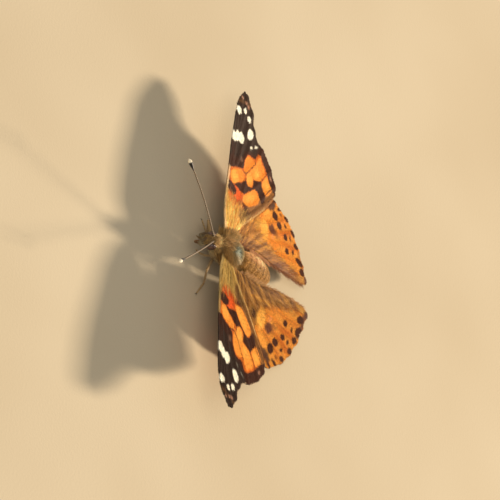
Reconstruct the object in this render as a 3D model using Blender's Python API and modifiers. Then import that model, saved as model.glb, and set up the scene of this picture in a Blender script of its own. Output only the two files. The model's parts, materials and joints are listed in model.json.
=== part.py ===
# Painted lady butterfly, basking with its wings spread, as closed solids for collision and size.
# The script builds in metres. Z is up, the head looks toward -Y and the left side lies toward +X.
import bmesh
import bpy
from math import cos, pi, radians, sin
from mathutils import Matrix, Vector

MM = 0.001

# Driving dimensions of the whole animal, in millimetres and degrees.
# The hinge line runs between the two forewing roots, and its middle is the centre of the body frame.
HINGE_HEIGHT = 7.0
BODY_PITCH = 9.0
BODY_YAW = 4.0
PLATE_THICKNESS = 0.5
PIECE_GAP = 0.32

# Each wing's hinge from the body centre, and how its plane is turned about that hinge.
# Dihedral lifts the tip, sweep turns the tip rearward and twist lowers the rear edge.
# The lean is what the left wing has more, and the right wing less, than the mean pose.
FOREWING = {
    "hinge": (2.3, 0.0, 0.0),
    "dihedral": 2.8, "sweep": 1.9, "twist": 5.1,
    "lean": (2.1, -2.6, 0.2),
}
HINDWING = {
    "hinge": (2.0, 2.6, -1.0),
    "dihedral": -6.8, "sweep": 15.6, "twist": -0.8,
    "lean": (-1.0, 2.5, -0.5),
}

# Wing outlines in their own plane: first value outward from the hinge, second value rearward.
FOREWING_OUTLINE = [
    (0.3, -1.6), (3.5, -2.7), (9.0, -3.05), (17.0, -3.1), (23.0, -2.95), (27.2, -2.1),
    (29.7, -0.5), (29.0, 0.9), (26.6, 2.6), (24.2, 3.5), (22.3, 5.0), (21.3, 7.5),
    (19.6, 9.7), (17.2, 11.7), (15.2, 11.8), (11.8, 10.2), (7.0, 6.3), (3.0, 2.9), (0.3, 1.1),
]
HINDWING_OUTLINE = [
    (0.7, -1.0), (4.0, -2.9), (9.5, -2.3), (14.2, 0.2), (17.3, 3.8), (18.3, 7.3),
    (17.5, 10.6), (15.5, 13.8), (12.5, 16.8), (9.3, 18.8), (6.9, 20.2), (5.6, 18.9),
    (4.2, 14.5), (3.2, 10.0), (2.7, 6.5), (1.6, 3.2), (0.8, 1.0),
]

# Trunk pieces in the yawed body frame.
THORAX_CENTRE = (0.0, 1.2, -1.55)
THORAX_RADII = (2.45, 3.2, 2.45)
ABDOMEN_START = (0.0, 4.75, -1.7)
ABDOMEN_DROOP = 8.0
ABDOMEN_LENGTH = 10.6
# Distance along the abdomen, as a share of its length, and the radius there.
ABDOMEN_PROFILE = [
    (0.0, 0.0), (0.02, 0.75), (0.07, 1.4), (0.16, 1.9), (0.30, 2.25), (0.48, 2.38),
    (0.66, 2.22), (0.81, 1.8), (0.92, 1.2), (0.98, 0.56), (1.0, 0.0),
]
ABDOMEN_STEPS = 24
MERGE_DISTANCE = 0.01

# Face pieces in the head's own frame, which is rolled a little toward the left.
HEAD_CENTRE = (0.2, -3.5, -1.2)
HEAD_ROLL = 4.5
HEAD_RADII = (0.62, 1.15, 1.2)
EYE_CENTRE = (1.3, -0.05, 0.0)
EYE_RADII = (0.37, 0.95, 1.05)
ANTENNA_BASE = (0.45, -0.6, 1.15)
ANTENNA_REACH = (9.0, -12.2, 2.8)
ANTENNA_RADIUS = 0.25
CLUB_LENGTH = 2.4
CLUB_RADIUS = 0.42
CLUB_END_RADIUS = 0.357
CLUB_END_SHARE = 0.98
PALP_ROUTE = [(0.75, -1.15, -1.4), (0.66, -1.8, -1.0), (0.58, -2.15, -0.1), (0.52, -2.3, 0.7)]
PALP_RADII = (0.27, 0.32, 0.32, 0.25)
COIL_CENTRE = (0.0, -0.8, -2.25)
COIL_RADII = (0.75, 0.26)
COIL_TURNS = 1.1
COIL_TUBE = 0.19
COIL_STEPS = 22

# Brush-like forelegs, held up under the head.
FORELEG_ROUTE = [(1.15, -0.6, -3.8), (1.4, -2.4, -4.3), (1.35, -4.2, -4.05)]
FORELEG_RADII = (0.3, 0.3, 0.25)

# Walking legs: hip and knee in the yawed body frame, ankle and toe level on the ground.
WALKING_LEGS = {
    "midleg": {
        "hip": (1.3, 0.6, -4.25), "knee": (4.8, -2.4, -2.9),
        "ankle": (4.7, 0.8), "toe": (7.2, -0.6),
    },
    "hindleg": {
        "hip": (1.3, 2.5, -4.05), "knee": (4.6, 5.4, -3.3),
        "ankle": (5.0, 7.6), "toe": (5.8, 10.9),
    },
}
FEMUR_RADII = (0.34, 0.27)
TIBIA_RADII = (0.27, 0.25)
TARSUS_RADIUS = 0.27
KNEE_GAP = 0.1
LEG_SIDES = 8

# How finely round shapes are drawn: sides and rows of balls, and steps of curves.
BALL_MESH = (24, 14)
EYE_MESH = (20, 12)
TUBE_ROUNDING = 2
OUTLINE_STEPS = 4

SIDES = {"left": 1, "right": -1}


def clear_scene():
    for old in list(bpy.data.objects):
        bpy.data.objects.remove(old, do_unlink=True)


def material(name, colour, roughness):
    finish = bpy.data.materials.new(name)
    finish.use_nodes = True
    shader = finish.node_tree.nodes["Principled BSDF"]
    shader.inputs["Base Color"].default_value = (*colour, 1.0)
    shader.inputs["Roughness"].default_value = roughness
    shader.inputs["Metallic"].default_value = 0.0
    return finish


def add_part(name, data, finish, parent, matrix=None):
    """Link one named sub-part under its parent empty, placed by its own matrix."""
    piece = bpy.data.objects.new(name, data)
    data.materials.append(finish)
    PARTS.objects.link(piece)
    piece.parent = parent
    piece.matrix_local = matrix or Matrix.Identity(4)
    return piece


def add_empty(name, parent=None, matrix=None):
    empty = bpy.data.objects.new(name, None)
    PARTS.objects.link(empty)
    empty.parent = parent
    empty.matrix_local = matrix or Matrix.Identity(4)
    return empty


def shaded_mesh(name, work, smooth=True):
    data = bpy.data.meshes.new(name)
    bmesh.ops.recalc_face_normals(work, faces=work.faces)
    work.to_mesh(data)
    work.free()
    data.polygons.foreach_set("use_smooth", [smooth] * len(data.polygons))
    return data


def ellipsoid(name, centre, radii, finish, parent, mesh_size=BALL_MESH):
    """A sphere primitive scaled to three half sizes in millimetres."""
    work = bmesh.new()
    bmesh.ops.create_uvsphere(work, u_segments=mesh_size[0], v_segments=mesh_size[1], radius=1.0)
    bmesh.ops.scale(work, vec=Vector(radii) * MM, verts=work.verts)
    matrix = Matrix.Translation(Vector(centre) * MM)
    return add_part(name, shaded_mesh(name, work), finish, parent, matrix)


def tube(name, route, radii, finish, parent):
    """A filled round tube along a route in millimetres, with a radius at each of its points."""
    curve = bpy.data.curves.new(name, "CURVE")
    curve.dimensions = "3D"
    curve.bevel_depth = MM
    curve.bevel_resolution = TUBE_ROUNDING
    curve.use_fill_caps = True
    spline = curve.splines.new("POLY")
    spline.points.add(len(route) - 1)
    for point, place, radius in zip(spline.points, route, radii):
        point.co = (*(Vector(place) * MM), 1.0)
        point.radius = radius
    return add_part(name, curve, finish, parent)


def rod(name, start, end, radii, finish, parent, up=Vector((0.0, 0.0, 1.0))):
    """A straight tapered rod with one flat side turned away from the up direction."""
    axis = (end - start).normalized()
    side = up.cross(axis).normalized()
    frame = Matrix((side, axis.cross(side), axis)).transposed().to_4x4()
    work = bmesh.new()
    half_side = Matrix.Rotation(pi / LEG_SIDES, 4, "Z")
    bmesh.ops.create_cone(
        work, cap_ends=True, segments=LEG_SIDES, radius1=radii[0] * MM, radius2=radii[1] * MM,
        depth=(end - start).length * MM, matrix=half_side,
    )
    matrix = Matrix.Translation((start + end) / 2 * MM) @ frame
    return add_part(name, shaded_mesh(name, work, smooth=False), finish, parent, matrix)


def wing_matrix(wing, side):
    """Turn a flat outline about its hinge by sweep, then twist, then dihedral."""
    dihedral, sweep, twist = (
        radians(wing[angle] + side * lean)
        for angle, lean in zip(("dihedral", "sweep", "twist"), wing["lean"])
    )
    hinge = Vector(wing["hinge"]) * MM
    hinge.x *= side
    return (
        Matrix.Translation(hinge)
        @ Matrix.Rotation(-dihedral * side, 4, "Y")
        @ Matrix.Rotation(-twist, 4, "X")
        @ Matrix.Rotation(sweep * side, 4, "Z")
    )


def wing_plate(name, outline, wing, side, finish, parent):
    """A thin plate with a smooth closed outline, mirrored for the right side."""
    curve = bpy.data.curves.new(name, "CURVE")
    curve.dimensions = "2D"
    curve.fill_mode = "BOTH"
    curve.extrude = PLATE_THICKNESS / 2 * MM
    curve.resolution_u = OUTLINE_STEPS
    spline = curve.splines.new("BEZIER")
    spline.bezier_points.add(len(outline) - 1)
    for point, (outward, rearward) in zip(spline.bezier_points, outline):
        point.co = (outward * side * MM, rearward * MM, 0.0)
        point.handle_left_type = "AUTO"
        point.handle_right_type = "AUTO"
    spline.use_cyclic_u = True
    return add_part(name, curve, finish, parent, wing_matrix(wing, side))


def make_wings(parent):
    forewing_finish = material("forewing_scales", (0.72, 0.28, 0.07), 0.6)
    hindwing_finish = material("hindwing_scales", (0.66, 0.24, 0.06), 0.6)
    for label, side in SIDES.items():
        wing_plate(f"forewing_{label}", FOREWING_OUTLINE, FOREWING, side, forewing_finish, parent)
        wing_plate(f"hindwing_{label}", HINDWING_OUTLINE, HINDWING, side, hindwing_finish, parent)


def make_abdomen(parent, finish):
    """A turned profile about the abdomen's own axis, lowered by its droop."""
    work = bmesh.new()
    corners = [
        work.verts.new((radius * MM, share * ABDOMEN_LENGTH * MM, 0.0))
        for share, radius in ABDOMEN_PROFILE
    ]
    for first, second in zip(corners, corners[1:]):
        work.edges.new((first, second))
    data = bpy.data.meshes.new("abdomen")
    work.to_mesh(data)
    work.free()
    matrix = (
        Matrix.Translation(Vector(ABDOMEN_START) * MM)
        @ Matrix.Rotation(radians(-ABDOMEN_DROOP), 4, "X")
    )
    abdomen = add_part("abdomen", data, finish, parent, matrix)
    turn = abdomen.modifiers.new("turned", "SCREW")
    turn.axis = "Y"
    turn.angle = 2 * pi
    turn.screw_offset = 0.0
    turn.steps = ABDOMEN_STEPS
    turn.render_steps = ABDOMEN_STEPS
    turn.use_merge_vertices = True
    turn.merge_threshold = MERGE_DISTANCE * MM
    turn.use_normal_calculate = True
    return abdomen


def make_head(parent, hair_finish):
    """Head capsule, eyes, palps, coiled proboscis and feelers."""
    eye_finish = material("eye", (0.05, 0.03, 0.025), 0.3)
    palp_finish = material("palp_hair", (0.36, 0.31, 0.2), 0.8)
    horn_finish = material("proboscis", (0.12, 0.06, 0.03), 0.45)
    feeler_finish = material("antenna", (0.07, 0.05, 0.035), 0.6)
    ellipsoid("head", (0.0, 0.0, 0.0), HEAD_RADII, hair_finish, parent)
    coil = []
    for step in range(COIL_STEPS + 1):
        share = step / COIL_STEPS
        angle = pi / 2 + 2 * pi * COIL_TURNS * share
        radius = COIL_RADII[0] + (COIL_RADII[1] - COIL_RADII[0]) * share
        coil.append(Vector(COIL_CENTRE) + Vector((0.0, radius * cos(angle), radius * sin(angle))))
    tube("proboscis", coil, [COIL_TUBE] * len(coil), horn_finish, parent)
    for label, side in SIDES.items():
        mirror = Vector((side, 1.0, 1.0))
        ellipsoid(f"eye_{label}", Vector(EYE_CENTRE) * mirror, EYE_RADII, eye_finish, parent, EYE_MESH)
        palp = [Vector(place) * mirror for place in PALP_ROUTE]
        tube(f"palp_{label}", palp, PALP_RADII, palp_finish, parent)
        base = Vector(ANTENNA_BASE) * mirror
        reach = Vector(ANTENNA_REACH) * mirror
        club_start = 1.0 - CLUB_LENGTH / reach.length
        shares = [0.0, club_start / 2, club_start, (club_start + 1) / 2, CLUB_END_SHARE, 1.0]
        radii = [ANTENNA_RADIUS] * 3 + [CLUB_RADIUS, CLUB_END_RADIUS, ANTENNA_RADIUS]
        tube(f"antenna_{label}", [base + reach * s for s in shares], radii, feeler_finish, parent)


def make_legs(level_frame, body_frame):
    """Two brush-like forelegs held up, and four walking legs that lie flat on the ground."""
    leg_finish = material("leg", (0.3, 0.22, 0.12), 0.7)
    to_level = level_frame.matrix_world.inverted() @ body_frame.matrix_world
    foot_height = TARSUS_RADIUS * cos(pi / LEG_SIDES)
    for label, side in SIDES.items():
        mirror = Vector((side, 1.0, 1.0))
        brush = [Vector(place) * mirror for place in FORELEG_ROUTE]
        tube(f"foreleg_{label}", brush, FORELEG_RADII, leg_finish, body_frame)
        for leg, place in WALKING_LEGS.items():
            hip = to_level @ (Vector(place["hip"]) * mirror * MM) / MM
            knee = to_level @ (Vector(place["knee"]) * mirror * MM) / MM
            ankle = Vector((place["ankle"][0] * side, place["ankle"][1], foot_height))
            toe = Vector((place["toe"][0] * side, place["toe"][1], foot_height))
            thigh = (knee - hip).normalized()
            shin = (ankle - knee).normalized()
            shin_start = knee + shin * (FEMUR_RADII[1] + PIECE_GAP)
            shin_end = ankle - shin * (TARSUS_RADIUS + PIECE_GAP)
            rod(f"{leg}_femur_{label}", hip, knee - thigh * KNEE_GAP, FEMUR_RADII, leg_finish, level_frame)
            rod(f"{leg}_tibia_{label}", shin_start, shin_end, TIBIA_RADII, leg_finish, level_frame)
            rod(f"{leg}_tarsus_{label}", ankle, toe, (TARSUS_RADIUS,) * 2, leg_finish, level_frame)


def centre_on_origin(level_frame):
    """Move the animal so that the middle of its bounding box stands over the origin."""
    bpy.context.view_layer.update()
    graph = bpy.context.evaluated_depsgraph_get()
    corners = []
    for piece in PARTS.objects:
        if piece.type != "EMPTY":
            solid = piece.evaluated_get(graph)
            surface = solid.to_mesh()
            corners += [piece.matrix_world @ vertex.co for vertex in surface.vertices]
            solid.to_mesh_clear()
    for axis in (0, 1):
        values = [corner[axis] for corner in corners]
        level_frame.location[axis] -= (min(values) + max(values)) / 2
    bpy.context.view_layer.update()


clear_scene()
PARTS = bpy.data.collections.new("painted_lady")
bpy.context.scene.collection.children.link(PARTS)
level = add_empty("level_frame")
pitched = add_empty(
    "wing_frame", level,
    Matrix.Translation((0.0, 0.0, HINGE_HEIGHT * MM)) @ Matrix.Rotation(radians(-BODY_PITCH), 4, "X"),
)
body = add_empty("body_frame", pitched, Matrix.Rotation(radians(BODY_YAW), 4, "Z"))
head_frame = add_empty(
    "head_frame", body,
    Matrix.Translation(Vector(HEAD_CENTRE) * MM) @ Matrix.Rotation(radians(HEAD_ROLL), 4, "Y"),
)
bpy.context.view_layer.update()
coat = material("body_hair", (0.24, 0.17, 0.08), 0.85)
ellipsoid("thorax", THORAX_CENTRE, THORAX_RADII, coat, body)
make_abdomen(body, coat)
make_head(head_frame, coat)
make_wings(pitched)
make_legs(level, body)
centre_on_origin(level)
for part in PARTS.objects:
    if part.type == "EMPTY":
        print(part.name, [round(value / MM, 3) for value in part.matrix_world.translation])
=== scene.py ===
# %% [markdown]
# A painted lady butterfly at life size, basking with its wings spread.
# The solid model is already packed. This lesson loads it as a fixed frame and dresses it:
# wing membranes, veins, thousands of tiny scales, a furry body, jewelled eyes and thin legs.
# Each shape is worked out with numpy in millimetres and handed to Blender in metres.

# %% Load the frame
import json

import bpy
import numpy as np
from mathutils import Matrix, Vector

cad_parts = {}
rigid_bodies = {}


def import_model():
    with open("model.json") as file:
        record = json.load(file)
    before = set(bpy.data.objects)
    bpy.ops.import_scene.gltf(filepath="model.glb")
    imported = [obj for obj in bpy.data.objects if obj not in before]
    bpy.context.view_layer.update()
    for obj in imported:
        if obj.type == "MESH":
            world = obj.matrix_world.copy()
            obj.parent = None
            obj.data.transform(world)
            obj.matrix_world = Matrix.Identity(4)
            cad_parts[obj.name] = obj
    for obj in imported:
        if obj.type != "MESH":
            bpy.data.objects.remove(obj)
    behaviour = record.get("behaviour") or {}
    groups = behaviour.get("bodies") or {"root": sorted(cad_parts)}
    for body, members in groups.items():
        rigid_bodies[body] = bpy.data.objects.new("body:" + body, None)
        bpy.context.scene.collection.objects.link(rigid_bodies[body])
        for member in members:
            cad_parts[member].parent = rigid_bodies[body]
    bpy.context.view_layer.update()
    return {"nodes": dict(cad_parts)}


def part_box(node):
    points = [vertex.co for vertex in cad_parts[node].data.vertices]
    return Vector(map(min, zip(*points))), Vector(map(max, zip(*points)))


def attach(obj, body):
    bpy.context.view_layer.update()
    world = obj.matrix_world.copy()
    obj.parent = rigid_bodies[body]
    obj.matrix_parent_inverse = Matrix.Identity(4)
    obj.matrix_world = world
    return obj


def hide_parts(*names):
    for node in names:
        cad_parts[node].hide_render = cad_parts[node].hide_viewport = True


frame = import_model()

MM = 0.001
SIDES = {"left": 1, "right": -1}
print("CAD nodes:", len(frame["nodes"]))

# %% [markdown]
# The butterfly sits a little nose-up and is turned a few degrees, so each part is drawn in a
# frame of its own: a turn and an origin. Drawing a wing flat and turning it afterwards is far
# easier than drawing it aslant. The thorax's box tells where the middle of the hinge line is.

# %% Frames for the wings, body and head
BODY_PITCH = 9.0
BODY_YAW = 4.0
HEAD_ROLL = 4.5
HEAD_CENTRE = np.array((0.2, -3.5, -1.2))
THORAX_CENTRE = np.array((0.0, 1.2, -1.55))


def turn_about(axis, degrees):
    """Rotation matrix about x, y or z: cosine and sine in the two other rows and columns."""
    angle = np.radians(degrees)
    first, second = {"x": (1, 2), "y": (2, 0), "z": (0, 1)}[axis]
    matrix = np.eye(3)
    matrix[[first, second], [first, second]] = np.cos(angle)
    matrix[first, second] = -np.sin(angle)
    matrix[second, first] = np.sin(angle)
    return matrix


def inner_frame(outer, turn, origin):
    """A frame inside another one: its turn comes first, then the outer turn."""
    return outer[0] @ turn, outer[0] @ np.asarray(origin, float) + outer[1]


def place(points, own_frame):
    """Points of a frame in world millimetres: turned, then moved by the frame's origin."""
    return np.asarray(points, float) @ own_frame[0].T + own_frame[1]


level_turn = turn_about("x", -BODY_PITCH)
body_turn = level_turn @ turn_about("z", BODY_YAW)
thorax_box = np.array(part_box("thorax")) / MM
hinge_middle = thorax_box.mean(0) - body_turn @ THORAX_CENTRE
wing_frame = (level_turn, hinge_middle)
body_frame = (body_turn, hinge_middle)
head_frame = inner_frame(body_frame, turn_about("y", HEAD_ROLL), HEAD_CENTRE)
world_frame = (np.eye(3), np.zeros(3))
print("hinge middle in mm:", hinge_middle.round(3))

# %% [markdown]
# A small insect photographed from arm's length has almost no perspective, so the camera is a
# long lens far away. Three angles place it: round the insect, up over it, and the roll of the
# frame. They were worked out from the wing tips in the photograph.

# %% Camera
CAMERA_AZIMUTH = 38.883
CAMERA_ELEVATION = 40.137
CAMERA_ROLL = 66.417
CAMERA_DISTANCE = 600.0
AIM_RIGHT = 3.56
AIM_UP = -0.75
SENSOR_WIDTH = 36.0
LENS = 251.05


def blender_pose(turn, spot):
    """Blender's four by four matrix: the turn's columns, then the spot in metres."""
    pose = np.eye(4)
    pose[:3, :3] = turn
    pose[:3, 3] = spot * MM
    return Matrix(pose.tolist())


camera_turn = turn_about("z", CAMERA_AZIMUTH) @ turn_about("x", 90 - CAMERA_ELEVATION)
camera_turn = camera_turn @ turn_about("z", CAMERA_ROLL)
camera_spot = hinge_middle + camera_turn @ (AIM_RIGHT, AIM_UP, CAMERA_DISTANCE)
camera_data = bpy.data.cameras.new("camera")
camera_data.sensor_width = SENSOR_WIDTH
camera_data.lens = LENS
camera = bpy.data.objects.new("camera", camera_data)
camera.matrix_world = blender_pose(camera_turn, camera_spot)
bpy.context.scene.collection.objects.link(camera)
bpy.context.scene.camera = camera
bpy.context.scene.view_settings.view_transform = "Standard"
print("camera height in mm:", camera_spot[2].round(1))

# %% [markdown]
# Materials are built from nodes. One helper turns a hex colour, as a painter would pick it, into
# the linear numbers that light is computed with. The other adds any node with its settings.

# %% Helpers for colours and nodes


def linear(code):
    """sRGB hex to linear: below 0.04045 divide by 12.92, above it ((c + 0.055) / 1.055) ** 2.4."""
    channels = np.array([int(code[i:i + 2], 16) for i in (1, 3, 5)]) / 255
    return np.where(channels <= 0.04045, channels / 12.92, ((channels + 0.055) / 1.055) ** 2.4)


def rgba(code):
    """The linear colour with full opacity as its fourth number, as colour sockets need it."""
    return (*linear(code), 1.0)


def start_material(name):
    """A new material with an empty tree. Returns it with its tree."""
    finish = bpy.data.materials.new(name)
    finish.use_nodes = True
    finish.node_tree.nodes.clear()
    return finish, finish.node_tree


def add_node(tree, kind, settings=None, stops=(), **inputs):
    """Adds one node. Settings are its own properties, stops are a ramp's (place, hex colour), and
    inputs are values or sockets to link from, with _ for each space in an input's name."""
    node = tree.nodes.new(kind)
    for name, value in (settings or {}).items():
        setattr(node, name, value)
    for name, value in inputs.items():
        socket = node.inputs[name.replace("_", " ")]
        if isinstance(value, bpy.types.NodeSocket):
            tree.links.new(value, socket)
        else:
            socket.default_value = value
    for _ in stops[2:]:
        node.color_ramp.elements.new(0.5)
    for number, (at, code) in enumerate(stops):
        node.color_ramp.elements[number].position = at
        node.color_ramp.elements[number].color = rgba(code)
    return node


print("middle grey is", linear("#808080")[0].round(3), "in linear light")

# %% [markdown]
# The stage is a plain pale floor of matt plaster. Real plaster has grains of about 0.05 mm, too
# fine to show here, so they are drawn some eight times as coarse.

# %% Floor
FLOOR_HALF = 1500.0
PLASTER_GRAINS_PER_MM = 2.5
PLASTER_CLOUDS_PER_MM = 0.018


def plaster_material():
    """Fine matt plaster, smoothed by hand: warm white clouds and a dry, grainy surface."""
    finish, tree = start_material("matt_plaster")
    where = add_node(tree, "ShaderNodeTexCoord").outputs["Object"]
    grain = add_node(tree, "ShaderNodeTexNoise", Vector=where, Scale=PLASTER_GRAINS_PER_MM / MM, Detail=3.0)
    cloud = add_node(tree, "ShaderNodeTexNoise", Vector=where, Scale=PLASTER_CLOUDS_PER_MM / MM, Detail=2.0)
    colour = add_node(
        tree, "ShaderNodeValToRGB", stops=[(0.3, "#C7B99E"), (0.7, "#D3C7AE")], Fac=cloud.outputs["Fac"],
    )
    bump = add_node(tree, "ShaderNodeBump", Strength=0.25, Distance=0.1 * MM, Height=grain.outputs["Fac"])
    shader = add_node(
        tree, "ShaderNodeBsdfPrincipled", Base_Color=colour.outputs["Color"],
        Normal=bump.outputs["Normal"], Roughness=0.9, Specular_IOR_Level=0.2,
    )
    add_node(tree, "ShaderNodeOutputMaterial", Surface=shader.outputs["BSDF"])
    return finish


floor_mesh = bpy.data.meshes.new("floor")
floor_corners = np.array([(-1, -1, 0), (1, -1, 0), (1, 1, 0), (-1, 1, 0)]) * FLOOR_HALF * MM
floor_mesh.from_pydata(floor_corners.tolist(), [], [(0, 1, 2, 3)])
floor_mesh.materials.append(plaster_material())
floor = bpy.data.objects.new("floor", floor_mesh)
bpy.context.scene.collection.objects.link(floor)
print("floor width in m:", floor.dimensions.x)

# %% [markdown]
# Soft light shows fur and scales best. A broad warm lamp stands low behind the insect, as evening
# sun would, a wide weak one fills the front, and a pale sky lights the shaded side.

# %% Light
SUN_DIRECTION = np.array((-0.1, 0.84, 0.53))
SUN_DISTANCE = 2400.0
SUN_SIZE = 260.0
SUN_POWER = 108.0
FILL_DIRECTION = np.array((0.45, -0.55, 0.9))
FILL_DISTANCE = 1500.0
FILL_SIZE = 900.0
FILL_POWER = 8.0
SKY_STRENGTH = 0.32


def add_lamp(name, direction, distance, size, power, colour):
    """A square lamp that shines from a direction toward the hinge middle."""
    data = bpy.data.lights.new(name, "AREA")
    data.size = size * MM
    data.energy = power
    data.color = linear(colour)
    lamp = bpy.data.objects.new(name, data)
    bpy.context.scene.collection.objects.link(lamp)
    back = direction / np.linalg.norm(direction)
    side = np.cross((0.0, 0.0, 1.0), back)
    side /= np.linalg.norm(side)
    turn = np.column_stack([side, np.cross(back, side), back])
    lamp.matrix_world = blender_pose(turn, hinge_middle + distance * back)
    print(name, "height in mm:", round(lamp.location.z / MM, 1))


add_lamp("low_sun", level_turn @ SUN_DIRECTION, SUN_DISTANCE, SUN_SIZE, SUN_POWER, "#FFE9CC")
add_lamp("broad_fill", FILL_DIRECTION, FILL_DISTANCE, FILL_SIZE, FILL_POWER, "#FFF4E2")
sky = bpy.data.worlds.new("sky")
sky.use_nodes = True
sky.node_tree.nodes["Background"].inputs["Color"].default_value = rgba("#EDE9E4")
sky.node_tree.nodes["Background"].inputs["Strength"].default_value = SKY_STRENGTH
bpy.context.scene.world = sky
print("sky strength:", SKY_STRENGTH)

# %% [markdown]
# Veins, feelers, legs and the body all follow a line, and a line in nature has no corners. A few
# given points are joined by a smooth curve, and rings are set square to it.

# %% Smooth paths and rings round them
STEPS_PER_SPAN = 24


def smooth_path(points, count):
    """Curve through points: each run is a Catmull-Rom cubic, then the whole is spaced evenly."""
    points = np.asarray(points, float)
    padded = np.vstack([2 * points[0] - points[1], points, 2 * points[-1] - points[-2]])
    spans = len(points) - 1
    at = np.linspace(0, spans, STEPS_PER_SPAN * spans + 1)
    run = np.minimum(at.astype(int), spans - 1)
    f = (at - run)[:, None]
    a, b, c, d = (padded[run + step] for step in range(4))
    curve = 0.5 * (2 * b + (c - a) * f + (2 * a - 5 * b + 4 * c - d) * f**2 + (3 * b - a - 3 * c + d) * f**3)
    length = run_lengths(curve)
    even = np.linspace(0, length[-1], count)
    return np.column_stack([np.interp(even, length, column) for column in curve.T])


def run_lengths(curve):
    """Length along a curve at each of its points: the running sum of the steps between them."""
    return np.concatenate([[0], np.cumsum(np.linalg.norm(np.diff(curve, axis=0), axis=1))])


def unit(vectors):
    """Vectors divided by their own lengths."""
    return vectors / np.maximum(np.linalg.norm(vectors, axis=-1, keepdims=True), 1e-12)


def ring_angles(sides):
    """Equal steps once round a circle, in radians."""
    return np.arange(sides) * 2 * np.pi / sides


def tube_rings(path, radii, sides):
    """Rings square to a path: side and up come from the direction that the path uses least."""
    path = np.asarray(path, float)
    tangent = unit(np.gradient(path, axis=0))
    spare = np.linalg.svd(tangent, full_matrices=True)[2][-1]
    side = unit(np.cross(tangent, spare))
    up = np.cross(side, tangent)
    angle = ring_angles(sides)
    radii = np.broadcast_to(radii, len(path))[:, None, None]
    spread = np.cos(angle)[None, :, None] * side[:, None] + np.sin(angle)[None, :, None] * up[:, None]
    return path[:, None] + radii * spread


print("a smooth right angle is", run_lengths(smooth_path([(0, 0), (1, 0), (1, 1)], 50))[-1].round(3), "long")

# %% [markdown]
# A face has a front, on the side from which its corners run anticlockwise, and on a closed form
# every front has to look outward. Whether it does follows from the volume that the faces enclose.
# Each face corner's place on the unwrap has to turn over with it.

# %% Fronts of faces


def outward(body):
    """Turns every face over when the volume, the sum of corner triple products, is negative."""
    points = body["points"] - body["points"].mean(0)
    volume = 0.0
    for faces in body["faces"]:
        for step in range(1, faces.shape[1] - 1):
            a, b, c = (points[faces[:, i]] for i in (0, step, step + 1))
            volume += (a * np.cross(b, c)).sum()
    if volume < 0:
        turn_over(body)
    return body


def turn_over(body):
    """Lists every face's corners the other way round, and their places on the unwrap with them."""
    body["faces"] = [faces[:, ::-1] for faces in body["faces"]]
    body["map"] = [corners[:, ::-1] for corners in body["map"]]


tetrahedron = {
    "points": np.eye(4, 3), "map": [],
    "faces": [np.array([(0, 1, 2), (0, 3, 1), (1, 3, 2), (2, 3, 0)])],
}
print("a tetrahedron's first face, front outward:", outward(tetrahedron)["faces"][0][0])

# %% [markdown]
# Almost every part of an insect is a closed shell: a row of rings along a line, with a point that
# closes each end. Faces are found by counting, so the whole shell is made without a loop.

# %% Closed shells


def shell(rings, poles, colours=None):
    """Closed shell: quads between neighbouring rings, and a fan from each end ring to its pole.

    Every face corner gets a place on an unwrap: along the rings is 0 to 1, around them is 0 to 1.
    A colour for each ring point, where there are any, gives the poles the first and the last.
    """
    rows, columns = rings.shape[:2]
    around = np.linspace(0, 1, columns + 1)
    along = np.linspace(0.01, 0.99, rows)
    row, column = np.meshgrid(np.arange(rows - 1), np.arange(columns), indexing="ij")
    row, column = row.ravel(), column.ravel()
    beside = (column + 1) % columns
    corner_rows = np.stack([row, row, row + 1, row + 1], -1)
    quads = corner_rows * columns + np.stack([column, beside, beside, column], -1)
    quad_map = np.stack([
        along[corner_rows], around[np.stack([column, column + 1, column + 1, column], -1)],
    ], -1)
    ring = np.arange(columns)
    after = (ring + 1) % columns
    last = (rows - 1) * columns
    fans = np.vstack([
        np.stack([np.full(columns, rows * columns), after, ring], -1),
        np.stack([np.full(columns, rows * columns + 1), last + ring, last + after], -1),
    ])
    middle = (around[:-1] + around[1:]) / 2
    fan_around = np.vstack([
        np.stack([middle, around[1:], around[:-1]], -1), np.stack([middle, around[:-1], around[1:]], -1),
    ])
    fan_along = np.repeat([(0.0, along[0], along[0]), (1.0, along[-1], along[-1])], columns, 0)
    body = {
        "points": np.vstack([rings.reshape(-1, 3), poles]),
        "faces": [quads, fans],
        "map": [quad_map, np.stack([fan_along, fan_around], -1)],
    }
    if colours is not None:
        body["colours"] = np.vstack([colours, colours[:1], colours[-1:]])
    return outward(body)


def join_shells(shells):
    """Several shells as one: their points in a row, with each face's numbers moved along."""
    starts = np.cumsum([0] + [len(each["points"]) for each in shells])
    return {
        "points": np.vstack([each["points"] for each in shells]),
        "faces": [faces + start for each, start in zip(shells, starts) for faces in each["faces"]],
        "map": [corners for each in shells for corners in each["map"]],
        "colours": np.vstack([each["colours"] for each in shells]),
    }


straight = tube_rings(np.linspace((0, 0, 0), (0, 0, 3), 4), 1.0, 6)
closed = shell(straight, [(0, 0, 0), (0, 0, 3)])
print("faces of a short tube with six sides:", sum(len(faces) for faces in closed["faces"]))

# %% [markdown]
# Blender keeps a mesh as long rows of numbers. Filling them in one go with foreach_set is far
# quicker than adding faces one by one, which matters when each face of a wing has 8,000 scales.

# %% Pieces
BAKE_MAP = "OFBake"


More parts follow.
